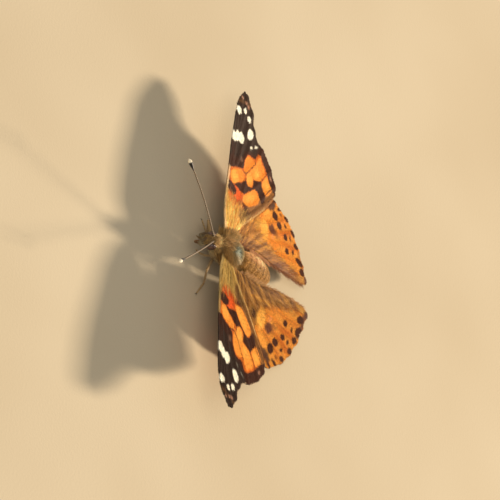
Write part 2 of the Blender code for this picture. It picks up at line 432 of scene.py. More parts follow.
def make_piece(name, body, finish, replaces=(), smooth=True):
    """A Blender mesh from a shell in millimetres, riding on the root and named as given."""
    sizes = np.concatenate([np.full(len(faces), faces.shape[1]) for faces in body["faces"]])
    corners = np.concatenate([faces.ravel() for faces in body["faces"]])
    mesh = bpy.data.meshes.new(name)
    mesh.vertices.add(len(body["points"]))
    mesh.vertices.foreach_set("co", (body["points"] * MM).astype(np.float32).ravel())
    mesh.loops.add(len(corners))
    mesh.loops.foreach_set("vertex_index", corners.astype(np.int32))
    mesh.polygons.add(len(sizes))
    mesh.polygons.foreach_set("loop_start", (np.cumsum(sizes) - sizes).astype(np.int32))
    mesh.update(calc_edges=True)
    mesh.polygons.foreach_set("use_smooth", np.full(len(sizes), smooth))
    unwrap = mesh.uv_layers.new(name=BAKE_MAP)
    corner_places = np.concatenate([part.reshape(-1, 2) for part in body["map"]])
    unwrap.uv.foreach_set("vector", corner_places.astype(np.float32).ravel())
    if "colours" in body:
        paint = mesh.color_attributes.new("pigment", "FLOAT_COLOR", "POINT")
        full = np.column_stack([body["colours"], np.ones(len(body["colours"]))])
        paint.data.foreach_set("color", full.astype(np.float32).ravel())
    mesh.materials.append(finish)
    piece = bpy.data.objects.new(name, mesh)
    bpy.context.scene.collection.objects.link(piece)
    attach(piece, "root")
    if replaces:
        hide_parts(*replaces)
    print(f"{name}: {int((sizes - 2).sum())} triangles")


print("the unwrap that the finish is baked on is called", BAKE_MAP)

# %% [markdown]
# Hair on a butterfly is coarse and lies backward, each lock lifting from the skin and bending
# down again. Real hair would be thousands of strands, so each lock here is a thin three-sided
# spike, which keeps its form in any program. A lock's colour runs from its root to its tip.

# %% Locks of hair
LOCK_SHARES = np.array([0.0, 0.35, 0.7, 1.0])
LOCK_TAPER = np.array([0.8, 1.0, 0.65])
LOCK_QUADS = np.array([
    [ring + corner, ring + (corner + 1) % 3, ring + 3 + (corner + 1) % 3, ring + 3 + corner]
    for ring in (0, 3) for corner in range(3)
])
LOCK_ENDS = np.array([[6 + corner, 6 + (corner + 1) % 3, 9] for corner in range(3)] + [[2, 1, 0]])
ROOT_SINK = 0.6
PATCH = 0.003


def locks(own_frame, roots, normals, lies, length, width, lift, root_colour, tip_colour, unwrap, sway):
    """Spikes on a surface that is given in its own frame. A centre point is root + length *
    (share * lie + lift * hump * normal + sway * share squared * side), where hump is
    share * (1 - share / 2). Each lock's unwrap is a patch of PATCH wide at its own place."""
    count = len(roots)
    roots = place(roots, own_frame)
    normals = unit(normals @ own_frame[0].T)
    lies = lies @ own_frame[0].T
    lies = unit(lies - (lies * normals).sum(1, keepdims=True) * normals)
    sides = np.cross(lies, normals)
    length, width, lift, sway = (
        np.broadcast_to(value, count)[:, None, None] for value in (length, width, lift, sway)
    )
    share = LOCK_SHARES[None, :, None]
    hump = share * (1 - share / 2)
    centre = roots[:, None] + length * (
        share * lies[:, None] + lift * hump * normals[:, None] + sway * share**2 * sides[:, None]
    )
    spread = np.stack([sides, -sides, 0.7 * normals], 1)
    half = width * LOCK_TAPER[None, :, None]
    rings = centre[:, :3, None] + half[..., None] * spread[:, None]
    rings[:, 0] -= ROOT_SINK * width * normals[:, None]
    points = np.concatenate([rings.reshape(count, 9, 3), centre[:, 3:]], 1)
    shares = np.array([*np.repeat(LOCK_SHARES[:3], 3), 1.0])
    corner = np.column_stack([np.array([0, 1, 2] * 3 + [1]) / 2 - 0.5, shares - 0.5]) * PATCH
    unwrap = unwrap[:, None] + corner[None]
    mix = shares[None, :, None]
    start = 10 * np.arange(count)[:, None, None]
    body = {
        "points": points.reshape(-1, 3),
        "faces": [(start + LOCK_QUADS).reshape(-1, 4), (start + LOCK_ENDS).reshape(-1, 3)],
        "map": [unwrap[:, LOCK_QUADS].reshape(-1, 4, 2), unwrap[:, LOCK_ENDS].reshape(-1, 3, 2)],
        "colours": (root_colour[:, None] * (1 - mix) + tip_colour[:, None] * mix).reshape(-1, 3),
    }
    first = outward({
        "points": points[0], "faces": [LOCK_QUADS, LOCK_ENDS],
        "map": [unwrap[0][LOCK_QUADS], unwrap[0][LOCK_ENDS]],
    })
    if first["faces"][0] is not LOCK_QUADS:
        turn_over(body)
    return body


print("triangles in a lock:", 2 * len(LOCK_QUADS) + len(LOCK_ENDS))

# %% [markdown]
# Hair has to be planted where the skin is, evenly by area and yet not in rows. The rings of the
# skin are a grid, so a root is a fractional row and column of it, and the golden ratio spreads
# the columns as a sunflower spreads its seeds.

# %% Planting on rings
GOLDEN_STEP = 0.618034


def on_rings(rings, row, column):
    """Point, outward normal and forward direction at a fractional row and column of a ring grid."""
    rows, columns = rings.shape[:2]
    low = np.clip(row.astype(int), 0, rows - 2)
    f = (row - low)[:, None]
    left = np.floor(column).astype(int)
    g = (column - left)[:, None]
    left %= columns
    right = (left + 1) % columns
    a, b, c, d = rings[low, left], rings[low, right], rings[low + 1, left], rings[low + 1, right]
    point = (a * (1 - g) + b * g) * (1 - f) + (c * (1 - g) + d * g) * f
    along = (c - a) * (1 - g) + (d - b) * g
    around = (b - a) * (1 - f) + (d - c) * f
    return point, unit(np.cross(along, around)), unit(along)


def scatter(rings, count, chance, weight=1.0):
    """Rows and columns spread evenly over the area of a ring grid: the rows follow the running
    sum of area, the columns step round by the golden ratio, and both are nudged a little."""
    around = np.linalg.norm(np.roll(rings, -1, 1) - rings, axis=-1).sum(1)
    along = np.linalg.norm(np.diff(rings, axis=0), axis=-1).mean(1)
    area = (around[:-1] + around[1:]) / 2 * along * weight
    share = np.concatenate([[0], np.cumsum(area)])
    share /= share[-1]
    order = np.arange(count)
    row = np.interp((order + chance.random(count)) / count, share, np.arange(len(share)))
    column = (order * GOLDEN_STEP + 0.03 * chance.random(count)) % 1 * rings.shape[1]
    return row, column


def ring_unwrap(rings, row, column):
    """Place on the skin's unwrap: the row is 0 to 1 along it, the column is 0 to 1 around it."""
    rows, columns = rings.shape[:2]
    unwrap = np.column_stack([0.01 + 0.98 * row / (rows - 1), column / columns % 1])
    return unwrap.clip(PATCH, 1 - PATCH)


print("four roots land on columns", (np.arange(4) * GOLDEN_STEP % 1 * 100).round().astype(int), "of 100")

# %% [markdown]
# No two hairs are the same brown. Colours of many points are rows of three linear numbers, so a
# tint or a mixture is one sum over all of them.

# %% Colours of many points


def tinted(colours, chance, bright=0.15, warm=0.05):
    """Each colour times its own random brightness, with a little random warmth."""
    count = len(colours)
    light = 1 + bright * chance.standard_normal((count, 1))
    heat = 1 + warm * chance.standard_normal((count, 1)) * np.array([1.0, 0.2, -1.0])
    return np.clip(colours * light * heat, 0.001, 1)


def mixed(first, second, share):
    """First colour where the share is 0, second where it is 1, in proportion between."""
    return linear(first) * (1 - share) + linear(second) * share


def even_colour(code, count):
    """The same colour for each of a number of points."""
    return np.tile(linear(code), (count, 1))


print("half way from black to white:", mixed("#000000", "#FFFFFF", 0.5))

# %% [markdown]
# A butterfly's wing is a dry membrane held by hollow veins. Its outline runs along two curves
# from the hinge to the tip, the leading and the trailing edge. The points are millimetres on the
# flat wing, outward and rearward from its hinge, and the angles set the wing to the body. Lean is
# added to each angle on the left and taken from it on the right. Bend and scallop are depths in
# millimetres, and fringe gives the stretch of each edge that is scalloped and fringed.

# %% Wing outlines and veins
FOREWING = {
    "hinge": (2.3, 0.0, 0.0), "dihedral": 2.8, "sweep": 1.9, "twist": 5.1, "lean": (2.1, -2.6, 0.2),
    "lead": [(-0.95, -0.7), (0.3, -1.6), (1.4, -2.15), (3.5, -2.7), (9.0, -3.05), (17.0, -3.1),
             (23.0, -2.95), (27.2, -2.1), (29.7, -0.5)],
    "trail": [(-0.95, 0.5), (0.3, 1.1), (3.0, 2.9), (7.0, 6.3), (11.8, 10.2), (15.2, 11.8), (17.2, 11.7),
              (19.6, 9.7), (21.3, 7.5), (22.3, 5.0), (24.2, 3.5), (26.6, 2.6), (29.0, 0.9), (29.7, -0.5)],
    "bend": {1: (-0.5, 1.1), -1: (-0.5, 0.0)},
    "scallop": 0.12,
    "fringe": {"trail": (0.49, 0.985)},
}
HINDWING = {
    "hinge": (2.0, 2.6, -1.0), "dihedral": -6.8, "sweep": 15.6, "twist": -0.8, "lean": (-1.0, 2.5, -0.5),
    "lead": [(-0.5, -0.3), (0.7, -1.0), (4.0, -2.9), (9.5, -2.3), (14.0, 0.4), (16.6, 3.9), (17.25, 7.2),
             (17.05, 10.4), (15.5, 13.8)],
    "trail": [(-0.5, 0.3), (0.9, 1.1), (1.6, 3.2), (2.7, 6.5), (3.2, 10.0), (4.2, 14.5), (5.6, 18.9),
              (6.9, 20.2), (9.3, 18.8), (12.5, 16.8), (15.5, 13.8)],
    "bend": {1: (0.0, 0.0), -1: (0.0, 0.0)},
    "scallop": 0.28,
    "fringe": {"lead": (0.6, 0.999), "trail": (0.63, 0.995)},
}
FOREWING["veins"] = [
    FOREWING["lead"][:7],
    [(-0.6, 0.0), (3.0, -1.3), (8.0, -2.1), (13.5, -2.2), (18.5, -3.05)],
    [(13.5, -2.2), (17.0, -2.4), (21.5, -2.9)],
    [(13.5, -2.2), (18.0, -1.9), (25.0, -2.4)],
    [(18.0, -1.9), (23.0, -1.3), (28.3, -1.4)],
    [(18.0, -1.9), (23.0, -0.6), (29.3, 0.4)],
    [(13.5, -2.2), (13.8, -1.0), (19.0, 0.4), (26.8, 2.4)],
    [(13.8, -1.0), (14.0, 0.3), (18.5, 2.2), (23.8, 3.6)],
    [(14.0, 0.3), (14.0, 2.3), (18.3, 5.2), (21.6, 6.6)],
    [(-0.6, 0.1), (3.0, 0.9), (6.0, 1.5), (9.5, 2.1), (12.0, 2.6), (14.0, 2.3)],
    [(11.8, 2.5), (12.6, 5.0), (15.0, 7.0), (17.6, 8.7), (19.4, 9.9)],
    [(7.0, 1.8), (8.5, 4.8), (11.3, 7.5), (14.0, 9.3), (16.9, 11.6)],
    [(-0.6, 0.2), (4.0, 3.0), (9.0, 7.0), (13.0, 10.2), (15.3, 11.75)],
]
HINDWING["veins"] = [
    [(1.0, -0.6), (2.5, -1.3), (7.0, -1.9), (13.5, -0.4)],
    [(1.0, 0.1), (3.0, 0.1), (7.0, 1.4), (13.0, 2.6), (16.85, 5.0)],
    [(7.0, 1.4), (9.0, 3.8), (13.5, 6.6), (17.2, 8.7)],
    [(9.0, 3.8), (9.8, 6.2), (12.8, 9.6), (16.2, 12.6)],
    [(5.0, 4.0), (7.6, 6.8), (9.8, 9.2), (14.5, 15.0)],
    [(7.6, 6.8), (8.6, 10.4), (12.0, 16.9)],
    [(5.0, 4.0), (6.4, 9.5), (9.5, 18.6)],
    [(1.0, 1.0), (2.7, 2.4), (5.0, 4.0)],
    [(1.5, 2.8), (2.8, 5.4), (5.0, 12.0), (7.1, 19.8)],
    [(1.6, 3.8), (2.5, 6.2), (3.6, 10.0), (4.6, 15.5)],
]
print("veins in a forewing:", len(FOREWING["veins"]), "and in a hindwing:", len(HINDWING["veins"]))

# %% [markdown]
# The outer edge is drawn in a little between the ends of the veins, as cloth is between the ribs
# of an umbrella. How near a vein is matters for every scale as well, so that distance is worked
# out once, on a raster, and read from there.

# %% Edges and the distance to the veins
EDGE_STEPS = 170
VEIN_STEPS = 14
WING_MIDDLE = np.array((10.0, 5.0))
SCALLOP_REACH = 1.4
SCALLOP_LIMIT = 4.0
END_RUN = 1e-4
RASTER_CELL = 0.1


def nearest(points, lines):
    """Distance from each point to the nearest straight run of the lines."""
    best = np.full(len(points), np.inf)
    for line in lines:
        for a, b in zip(line[:-1], line[1:]):
            run = b - a
            f = np.clip(((points - a) @ run) / max(run @ run, 1e-12), 0, 1)
            best = np.minimum(best, np.linalg.norm(points - a - f[:, None] * run, axis=1))
    return best


def scalloped(edge, vein_ends, depth):
    """Draws an edge in between vein ends by depth * (1 - cos) / 2 of the way to the next end."""
    gap = nearest(edge, [np.array([end, end + END_RUN]) for end in vein_ends])
    inward = np.column_stack([-np.gradient(edge[:, 1]), np.gradient(edge[:, 0])])
    inward = unit(inward) * np.sign(((WING_MIDDLE - edge) * inward).sum(1, keepdims=True))
    pull = depth * (1 - np.cos(np.clip(gap / SCALLOP_REACH, 0, 1) * np.pi)) / 2
    return edge + inward * (pull * (gap < SCALLOP_LIMIT))[:, None]


def prepare(wing):
    """Smooth edges, smooth veins and a raster of the distance to the nearest vein."""
    wing["vein_paths"] = [smooth_path(line, VEIN_STEPS) for line in wing["veins"]]
    vein_ends = np.array([line[-1] for line in wing["veins"][1:]])
    along = np.linspace(0, 1, EDGE_STEPS)
    for edge in ("lead", "trail"):
        curve = smooth_path(wing[edge], EDGE_STEPS)
        low, high = wing["fringe"].get(edge, (2, 2))
        outer = (along > low) & (along < high)
        wing[edge + "_curve"] = np.where(outer[:, None], scalloped(curve, vein_ends, wing["scallop"]), curve)
    wing["outline"] = np.vstack([wing["lead_curve"][:-1], wing["trail_curve"][::-1][:-1]])
    low = wing["outline"].min(0) - 1
    count = np.ceil((wing["outline"].max(0) + 1 - low) / RASTER_CELL).astype(int) + 1
    grid = np.stack(np.meshgrid(*[np.arange(n) * RASTER_CELL for n in count], indexing="ij"), -1) + low
    wing["raster"] = (low, nearest(grid.reshape(-1, 2), wing["vein_paths"]).reshape(count))


def vein_gap(wing, s, t):
    """Distance to the nearest vein, read between the cells of the raster."""
    low, raster = wing["raster"]
    x = np.clip((s - low[0]) / RASTER_CELL, 0, raster.shape[0] - 1.001)
    y = np.clip((t - low[1]) / RASTER_CELL, 0, raster.shape[1] - 1.001)
    i, j = x.astype(int), y.astype(int)
    f, g = x - i, y - j
    top = raster[i, j] * (1 - g) + raster[i, j + 1] * g
    return top * (1 - f) + (raster[i + 1, j] * (1 - g) + raster[i + 1, j + 1] * g) * f


for wing in (FOREWING, HINDWING):
    prepare(wing)
    print("outline spans", np.ptp(wing["outline"], axis=0).round(2), "mm")

# %% [markdown]
# A wing isn't flat. Veins are folds of the membrane, so its height depends on how near a vein is.
# The root dips into the chest, and the tips of these wings droop or lift a little.

# %% Height of the wing
MEMBRANE_HALF = 0.04
VEIN_FOLD = 0.13
FOLD_REACH = 0.55
ROOT_DIP = 0.85


def wing_plane(wing, side):
    """Frame of a wing's own plane: swept, then twisted, then lifted about its hinge."""
    dihedral, sweep, twist = (
        wing[angle] + side * lean for angle, lean in zip(("dihedral", "sweep", "twist"), wing["lean"])
    )
    turn = turn_about("y", -dihedral * side) @ turn_about("x", -twist) @ turn_about("z", sweep * side)
    return inner_frame(wing_frame, turn, np.array(wing["hinge"]) * (side, 1, 1))


def wing_height(wing, side, s, t):
    """Height over the wing's plane: a fold that falls away from each vein, a soft wave along the
    outer part, a dip that sinks the root into the chest, and two bends that grow with the third
    and the ninth power of the way out."""
    fold = -VEIN_FOLD * (1 - np.exp(-((vein_gap(wing, s, t) / FOLD_REACH) ** 2)))
    wave = 0.05 * np.sin(0.55 * s + 0.5 * t * side) * np.clip(np.hypot(s, t) / 20, 0, 1)
    way = np.clip(s, 0, None) / 30
    whole, tip = wing["bend"][side]
    dip = -ROOT_DIP * np.clip((1.5 - s) / 2.5, 0, 1) ** 2
    return fold + wave + dip + whole * way**3 + tip * way**9


middle_height = wing_height(FOREWING, 1, np.array([12.0]), np.array([6.0]))
print("height of the left forewing's middle over its plane:", middle_height.round(3), "mm")

# %% [markdown]
# The wing pattern is made of pigment, one colour in each scale. It is described here as shapes on
# the flat wing: spots are ovals, patches are outlines with rounded corners. Each shape gives a
# depth in millimetres, positive inside, and a soft step of that depth lays its colour on.

# %% Shapes on the flat wing
CORNER_CUT = 0.17


def rounded(corners):
    """Cuts the corners of a closed outline twice, each time by a sixth of each side."""
    corners = np.asarray(corners, float)
    for _ in range(2):
        step = CORNER_CUT * (np.roll(corners, -1, 0) - corners)
        corners = np.stack([corners + step, np.roll(corners, -1, 0) - step], 1).reshape(-1, 2)
    return corners


def inside_outline(s, t, outline):
    """Distance to a closed outline, positive inside: a ray that crosses it an odd number of times."""
    within = np.zeros(len(s), bool)
    for a, b in zip(outline, np.roll(outline, -1, 0)):
        if a[1] != b[1]:
            crosses = (a[1] > t) != (b[1] > t)
            within ^= crosses & (s < a[0] + (t - a[1]) * (b[0] - a[0]) / (b[1] - a[1]))
    gap = nearest(np.column_stack([s, t]), [np.vstack([outline, outline[:1]])])
    return np.where(within, gap, -gap)


def inside_patch(s, t, corners):
    """Depth inside an outline whose corners are rounded."""
    return inside_outline(s, t, rounded(corners))


def turned(s, t, centre, angle):
    """Points about a centre, turned so that the first number runs along the given angle."""
    turn = np.radians(angle)
    x, y = s - centre[0], t - centre[1]
    return x * np.cos(turn) + y * np.sin(turn), y * np.cos(turn) - x * np.sin(turn)


def inside_spot(s, t, centre, radii, angle=0.0):
    """Depth inside an oval: one less its scaled radius, times the smaller half width."""
    along, over = turned(s, t, centre, angle)
    return (1 - np.hypot(along / radii[0], over / radii[1])) * min(radii)


def inside_bar(s, t, centre, half, angle):
    """Depth inside a bar with round ends: half its width less the distance to its middle line."""
    along, over = turned(s, t, centre, angle)
    past = np.clip(np.abs(along) - (half[0] - half[1]), 0, None)
    return half[1] - np.hypot(past, over)


def inside_line(s, t, points, half):
    """Depth inside a stripe of the given half width along a smooth path."""
    return half - nearest(np.column_stack([s, t]), [smooth_path(points, 12)])


def only_where(chosen, depth):
    """The depth where a test holds, and well outside elsewhere."""
    return np.where(chosen, depth, -1)


print("depth in the middle of a 2 by 1 mm oval:", inside_spot(0.0, 0.0, (0, 0), (1.0, 0.5)), "mm")

# %% [markdown]
# Colours are laid over each other like glazes, the ground first. Nothing in a living pattern is
# even, so slow random waves move the borders, and long streaks follow the hair and the veins.

# %% Layers, drifts and streaks
RAY_START = 3.5


def lay(colours, colour, depth, soft=0.12, strength=1.0):
    """Mixes a colour in where the depth is positive, by a smooth step over plus or minus soft."""
    step = np.clip(depth / soft / 2 + 0.5, 0, 1)
    step = (step * step * (3 - 2 * step) * strength)[:, None]
    return colours * (1 - step) + linear(colour) * step


def layered(colours, layers):
    """Lays each of a list of (colour, depth, soft, strength) over the ones before it."""
    for layer in layers:
        colours = lay(colours, *layer)
    return colours


def drift(s, t, size, seed):
    """Slow random drift from -1 to 1: the mean of eight sine waves in random directions."""
    chance = np.random.default_rng(seed)
    angle, phase = chance.uniform(0, 2 * np.pi, (2, 8))
    rate = 2 * np.pi / size * chance.uniform(0.6, 1.4, 8)
    waves = np.sin(rate * (s[:, None] * np.cos(angle) + t[:, None] * np.sin(angle)) + phase)
    return waves.mean(1) * 2


def rays(s, t, size, seed):
    """Long streaks outward from the hinge: drift over the arc, seven times slower along the ray."""
    turn = np.arctan2(t, s + RAY_START)
    return drift(9.0 * turn, np.hypot(s + RAY_START, t) / 7, size, seed)


streaks = rays(np.linspace(0, 20, 200), np.full(200, 5.0), 0.9, 1)
print("streaks range from", streaks.min().round(2), "to", streaks.max().round(2))

# %% [markdown]
# The shapes of the forewing's pattern, all in millimetres on the flat wing. A spot is a centre,
# two half widths and a turn in degrees. The underside has the same shapes in a rosier palette.

# %% Forewing shapes and palettes
MARGIN_BAND = [(5.0, 2.9), (8.0, 5.6), (12.0, 8.9), (17.0, 11.4)]
FOLD_LINE = [(3.5, 3.1), (7.0, 6.15), (10.8, 9.3)]
BRIGHT_MIDDLES = [((11.5, -0.9), (1.0, 1.2)), ((10.2, 4.6), (1.8, 0.8)), ((15.3, 9.3), (0.9, 0.7)),
                  ((13.6, 3.8), (0.8, 0.6)), ((16.0, 5.9), (0.9, 0.7))]
BRIGHT_ANGLE = 46
# Shade is a painted shade laid on the left wing's hair zone. Glow is pale gold streaks in the hair, painted
# brighter on the right wing as sunlight.
FOREWING_PALETTES = {
    "upper": {
        "ground": "#C8641C", "patch": "#E6882A", "bright": "#F4B04A", "cell": "#DE5A1C", "dark": "#3A1806",
        "tip": "#2E1D14", "white": "#FFFBE6", "margin": "#8A5C2C", "edge": "#CDA868", "root": "#FFB84C",
        "glow": "#FFDA7C", "shade": "#80672E", "costa": "#A8905A", "rim": "#D2B488", "pink": "#A87C64",
    },
    "under": {
        "ground": "#E0815C", "patch": "#E6906A", "bright": "#EDA57C", "cell": "#D96A55", "dark": "#35261F",
        "tip": "#8C8068", "white": "#F4F0E2", "margin": "#C9A98A", "edge": "#DCCDB0", "root": "#D9A283",
        "glow": "#E6BD9C", "shade": "#C79A80", "costa": "#A59A80", "rim": "#A59A80", "pink": "#B7AD9C",
    },
}
TIP_AREA = [(11.9, -3.4), (12.95, -1.5), (13.8, 0.0), (14.3, 1.5), (16.0, 1.3), (17.5, 1.8), (18.2, 3.0),
            (18.2, 4.6), (19.8, 5.2), (20.0, 6.0), (19.4, 6.8), (18.6, 8.1), (17.5, 9.0), (16.2, 10.4),
            (15.4, 11.2), (15.2, 13.0), (24.0, 11.0), (31.0, 2.0), (31.0, -3.0), (22.0, -4.5), (12.6, -4.2)]
TIP_MIDDLE = [(14.5, -4.5), (15.2, -1.6), (15.4, 0.2), (17.2, 0.9), (18.8, 2.4), (19.2, 4.6),
              (21.2, 5.6), (24.0, 7.0), (31.0, 2.0), (31.0, -3.0), (22.0, -4.5)]
ORANGE_PATCHES = [
    [(9.8, -0.9), (10.1, -1.9), (11.2, -2.5), (12.5, -1.8), (13.3, -0.4), (13.9, 1.2), (13.3, 2.0),
     (12.2, 2.0), (11.2, 0.7)],
    [(11.9, 3.5), (12.6, 2.6), (14.4, 1.6), (16.6, 1.5), (17.7, 2.5), (18.0, 3.8), (17.5, 4.75),
     (14.3, 4.9), (12.7, 4.8)],
    [(14.3, 4.6), (14.6, 5.7), (15.1, 6.9), (17.3, 8.35), (18.4, 7.9), (18.7, 7.0), (19.6, 6.2),
     (19.1, 5.4), (17.3, 4.6)],
    [(13.1, 9.0), (15.1, 7.3), (17.6, 8.7), (15.6, 10.9), (13.8, 9.8)],
    [(8.1, 2.2), (9.2, 2.35), (10.8, 3.75), (12.4, 5.2), (12.6, 6.5), (11.7, 7.4), (10.3, 6.95),
     (8.8, 5.2), (7.9, 3.9)],
]
DARK_BARS = [
    [(7.7, -2.4), (8.4, -3.5), (9.6, -3.4), (9.9, -1.8), (9.9, -0.8), (9.3, 0.2), (8.4, 0.3), (7.8, -0.6)],
    [(9.8, -0.6), (10.6, -0.4), (11.3, 1.2), (12.4, 2.2), (12.9, 2.9), (12.1, 3.4), (12.2, 4.4),
     (12.9, 5.1), (12.4, 5.4), (11.2, 4.0), (9.7, 2.7), (9.6, 1.4), (9.9, 0.6)],
    [(12.4, 4.8), (14.3, 4.9), (14.6, 5.9), (15.2, 7.1), (14.7, 8.1), (13.4, 8.95), (12.0, 8.9),
     (10.9, 8.1), (11.5, 7.4), (12.7, 6.8)],
]
WHITE_SPOTS = [
    ((18.9, -2.5), (0.95, 0.78), 0), ((19.55, -1.55), (1.05, 0.7), 0), ((19.95, -0.25), (1.1, 0.82), 0),
    ((24.8, -2.0), (0.82, 0.74), 0), ((25.75, -0.1), (0.58, 0.46), 0), ((24.9, 1.45), (0.62, 0.5), 0),
    ((22.25, 2.35), (1.22, 0.82), 20),
]
DASHES = [((19.8, 3.0), (0.48, 0.2), 50), ((20.9, 4.6), (0.6, 0.2), 50)]
PALE_SPOTS = [((28.0, -1.2), (0.3, 0.4), 0), ((27.5, 0.0), (0.34, 0.34), 0), ((27.2, 0.9), (0.38, 0.45), 0),
              ((17.7, 10.2), (0.5, 0.3), -40)]
print("white spots on a forewing:", len(WHITE_SPOTS))

# %% [markdown]
# Upper side of the forewing: golden hair at the root, orange patches cut by dark bars, and a
# black-brown tip with white spots. Left and right differ a little, mostly in their hair: painted
# shade darkens the left wing's hair zone and painted sunlight brightens the right one's streaks.

# %% Forewing pattern


def forewing_pattern(s, t, side, under=False):
    """Pigment over the flat forewing, with painted shade and sunlight on the hair zone: ground, hair zone,
    patches, bars, dark tip and spots.
    """
    paint = FOREWING_PALETTES["under" if under else "upper"]
    left = side > 0
    streak = 0.6 * rays(s, t, 0.8, 11) + 0.6 * rays(s, t, 1.8, 15)
    hairy = 7.0 - (s + 0.15 * t) + 1.3 * streak
    cell = inside_bar(s, t, (7.9, -0.1), (2.3, 1.9), 20) + 1.1 * np.where(s < 7.6, streak, 0)
    within = np.max([inside_patch(s, t, patch) for patch in ORANGE_PATCHES], 0)
    front = inside_line(s, t, FOREWING["lead"][:6], 0.55) + 0.08 * drift(s, t, 2, 13)
    tip = inside_patch(s, t, TIP_MIDDLE) + 0.15 * drift(s, t, 1.0, 14)
    gap = vein_gap(FOREWING, s, t)
    dim = paint["shade" if left else "ground"]
    # Left wing: painted shade over the hair zone. Right wing: gold streaks painted brighter, as sunlight.
    hair = [
        (paint["root"], hairy, 1.2),
        (paint["shade"], hairy + 0.8 * drift(s, t, 1.6, 12) - 0.6, 1.6, 0.75 if left else 0.0),
        (dim, only_where(hairy > 0, -0.25 - streak), 0.25, 0.75 if left else 0.5),
        (paint["glow"], only_where(hairy > 0, streak - 0.1), 0.4, 0.5 if left else 0.9),
    ]
    bars = [
        (paint["cell"], cell, 0.5, 0.9),
        (paint["margin"], inside_line(s, t, MARGIN_BAND, 1.45) + 0.1 * streak, 0.4),
        (paint["dark"], inside_line(s, t, MARGIN_BAND, 0.2) + 0.3 * streak, 0.6, 0.5),
        (paint["edge"], inside_line(s, t, FOLD_LINE, 0.2), 0.14, 1.0 if left else 0.45),
        (paint["dark"], inside_spot(s, t, (7.5, 3.1), (0.65, 1.15), 20), 0.4, 0.85),
        *((paint["dark"], inside_patch(s, t, outline), 0.16) for outline in (TIP_AREA, *DARK_BARS)),
    ]
    orange = [
        (paint["patch"], within, 0.15),
        (paint["bright"], within - 0.2, 0.2, 0.4 if left else 0.0),
        (paint["costa" if left else "rim"], np.minimum(front, 12.4 - s), 0.2, 0.85),
    ]
    for centre, radii in BRIGHT_MIDDLES:
        glow = inside_spot(s, t, centre, radii, BRIGHT_ANGLE) + 0.25 * streak
        orange.append((paint["bright"], np.minimum(glow, 4 * within - 0.8), 0.8, 1.0 if left else 0.85))
    outer = [
        (paint["tip"], tip, 0.5),
        (paint["margin"], 0.35 - np.abs(s - 0.35 * t - 27.6) + 0.2 * streak, 0.4, 0.3),
        (paint["pink"], inside_spot(s, t, (15.8, 0.55), (0.5, 0.4)), 0.25, 0.35),
        *((paint["pink"], inside_spot(s, t, *spot), 0.15, 0.8) for spot in PALE_SPOTS),
        *((paint["white"], inside_spot(s, t, *spot)) for spot in WHITE_SPOTS),
        *((paint["white"], inside_spot(s, t, *spot), 0.12, 0.15 if left else 0.9) for spot in DASHES),
        (paint["dark"], only_where((s > 12.5) & (s < 17.9), 0.1 - gap), 0.08, 0.85),
        (paint["edge"], only_where(s < 6.5, 0.1 - gap), 0.12, 0.6),
    ]
    return layered(even_colour(paint["ground"], len(s)), hair + bars + orange + outer)


def forewing_under(s, t, side):
    """The same drawing in the palette of the underside."""
    return forewing_pattern(s, t, side, under=True)


print("middle of the forewing:", forewing_pattern(np.array([15.0]), np.array([3.0]), 1).round(2))

# %% [markdown]
# The hindwing is warm orange above, tawny and hairy toward the body, with three rows of round
# black spots along its rim. The left and right one aren't quite alike, so a few values are kept
# for each side. The right one's tawny zone is painted brighter, as sunlight, and the left one's duller, as
# shade.

# %% Upper hindwing pattern
HIND_SPOTS = [
    ((14.0, 9.1), (0.98, 0.78), 0), ((12.8, 10.5), (0.76, 0.8), 0), ((11.7, 12.6), (0.6, 0.63), 0),
    ((9.2, 13.6), (0.64, 0.6), 0), ((14.0, 12.1), (0.46, 0.3), -45), ((12.5, 13.95), (0.52, 0.3), -30),
    ((10.2, 15.25), (0.56, 0.28), -20), ((16.5, 10.1), (0.95, 0.36), 45), ((15.6, 12.1), (0.56, 0.72), 0),
    ((14.0, 14.4), (0.6, 0.82), 10), ((12.0, 15.8), (0.7, 0.66), 0), ((16.95, 8.4), (0.9, 0.34), 42),
]
CORNER_SPOTS = {1: [((10.45, 17.1), (0.85, 1.0), 20), ((8.2, 17.75), (0.8, 0.95), 10)],
                -1: [((9.3, 17.2), (0.8, 1.05), 10), ((7.8, 18.3), (0.82, 0.75), 0)]}
HIND_SHIFT = {1: (-0.15, 0.4), -1: (0.3, 0.3)}
HIND_BLOTCHES = [
    ("#F4B04A", (9.1, 6.75), (1.8, 1.05), -10, 0.35, 1.0),
    ("#EC9E3C", (12.9, 7.0), (1.6, 0.95), 25, 0.4, 0.9),
    ("#6A3A22", (10.4, 8.9), (1.05, 1.15), 0, 0.35, 1.0), ("#43281A", (15.2, 7.7), (1.5, 0.8), 38, 0.3, 0.9),
    ("#8E5424", (10.1, 10.3), (0.5, 0.7), 0, 0.4, 0.7), ("#E8935A", (8.9, 9.2), (0.5, 0.4), 0, 0.3, 0.5),
    ("#7E4018", (15.45, 10.45), (0.36, 0.3), 0, 0.2, 0.8),
]
FRONT_STREAK = [(11.0, 4.2), (14.6, 6.6), (16.0, 8.2)]
HEM_LINE = [(6.8, 19.4), (9.3, 18.1), (11.2, 16.9)]


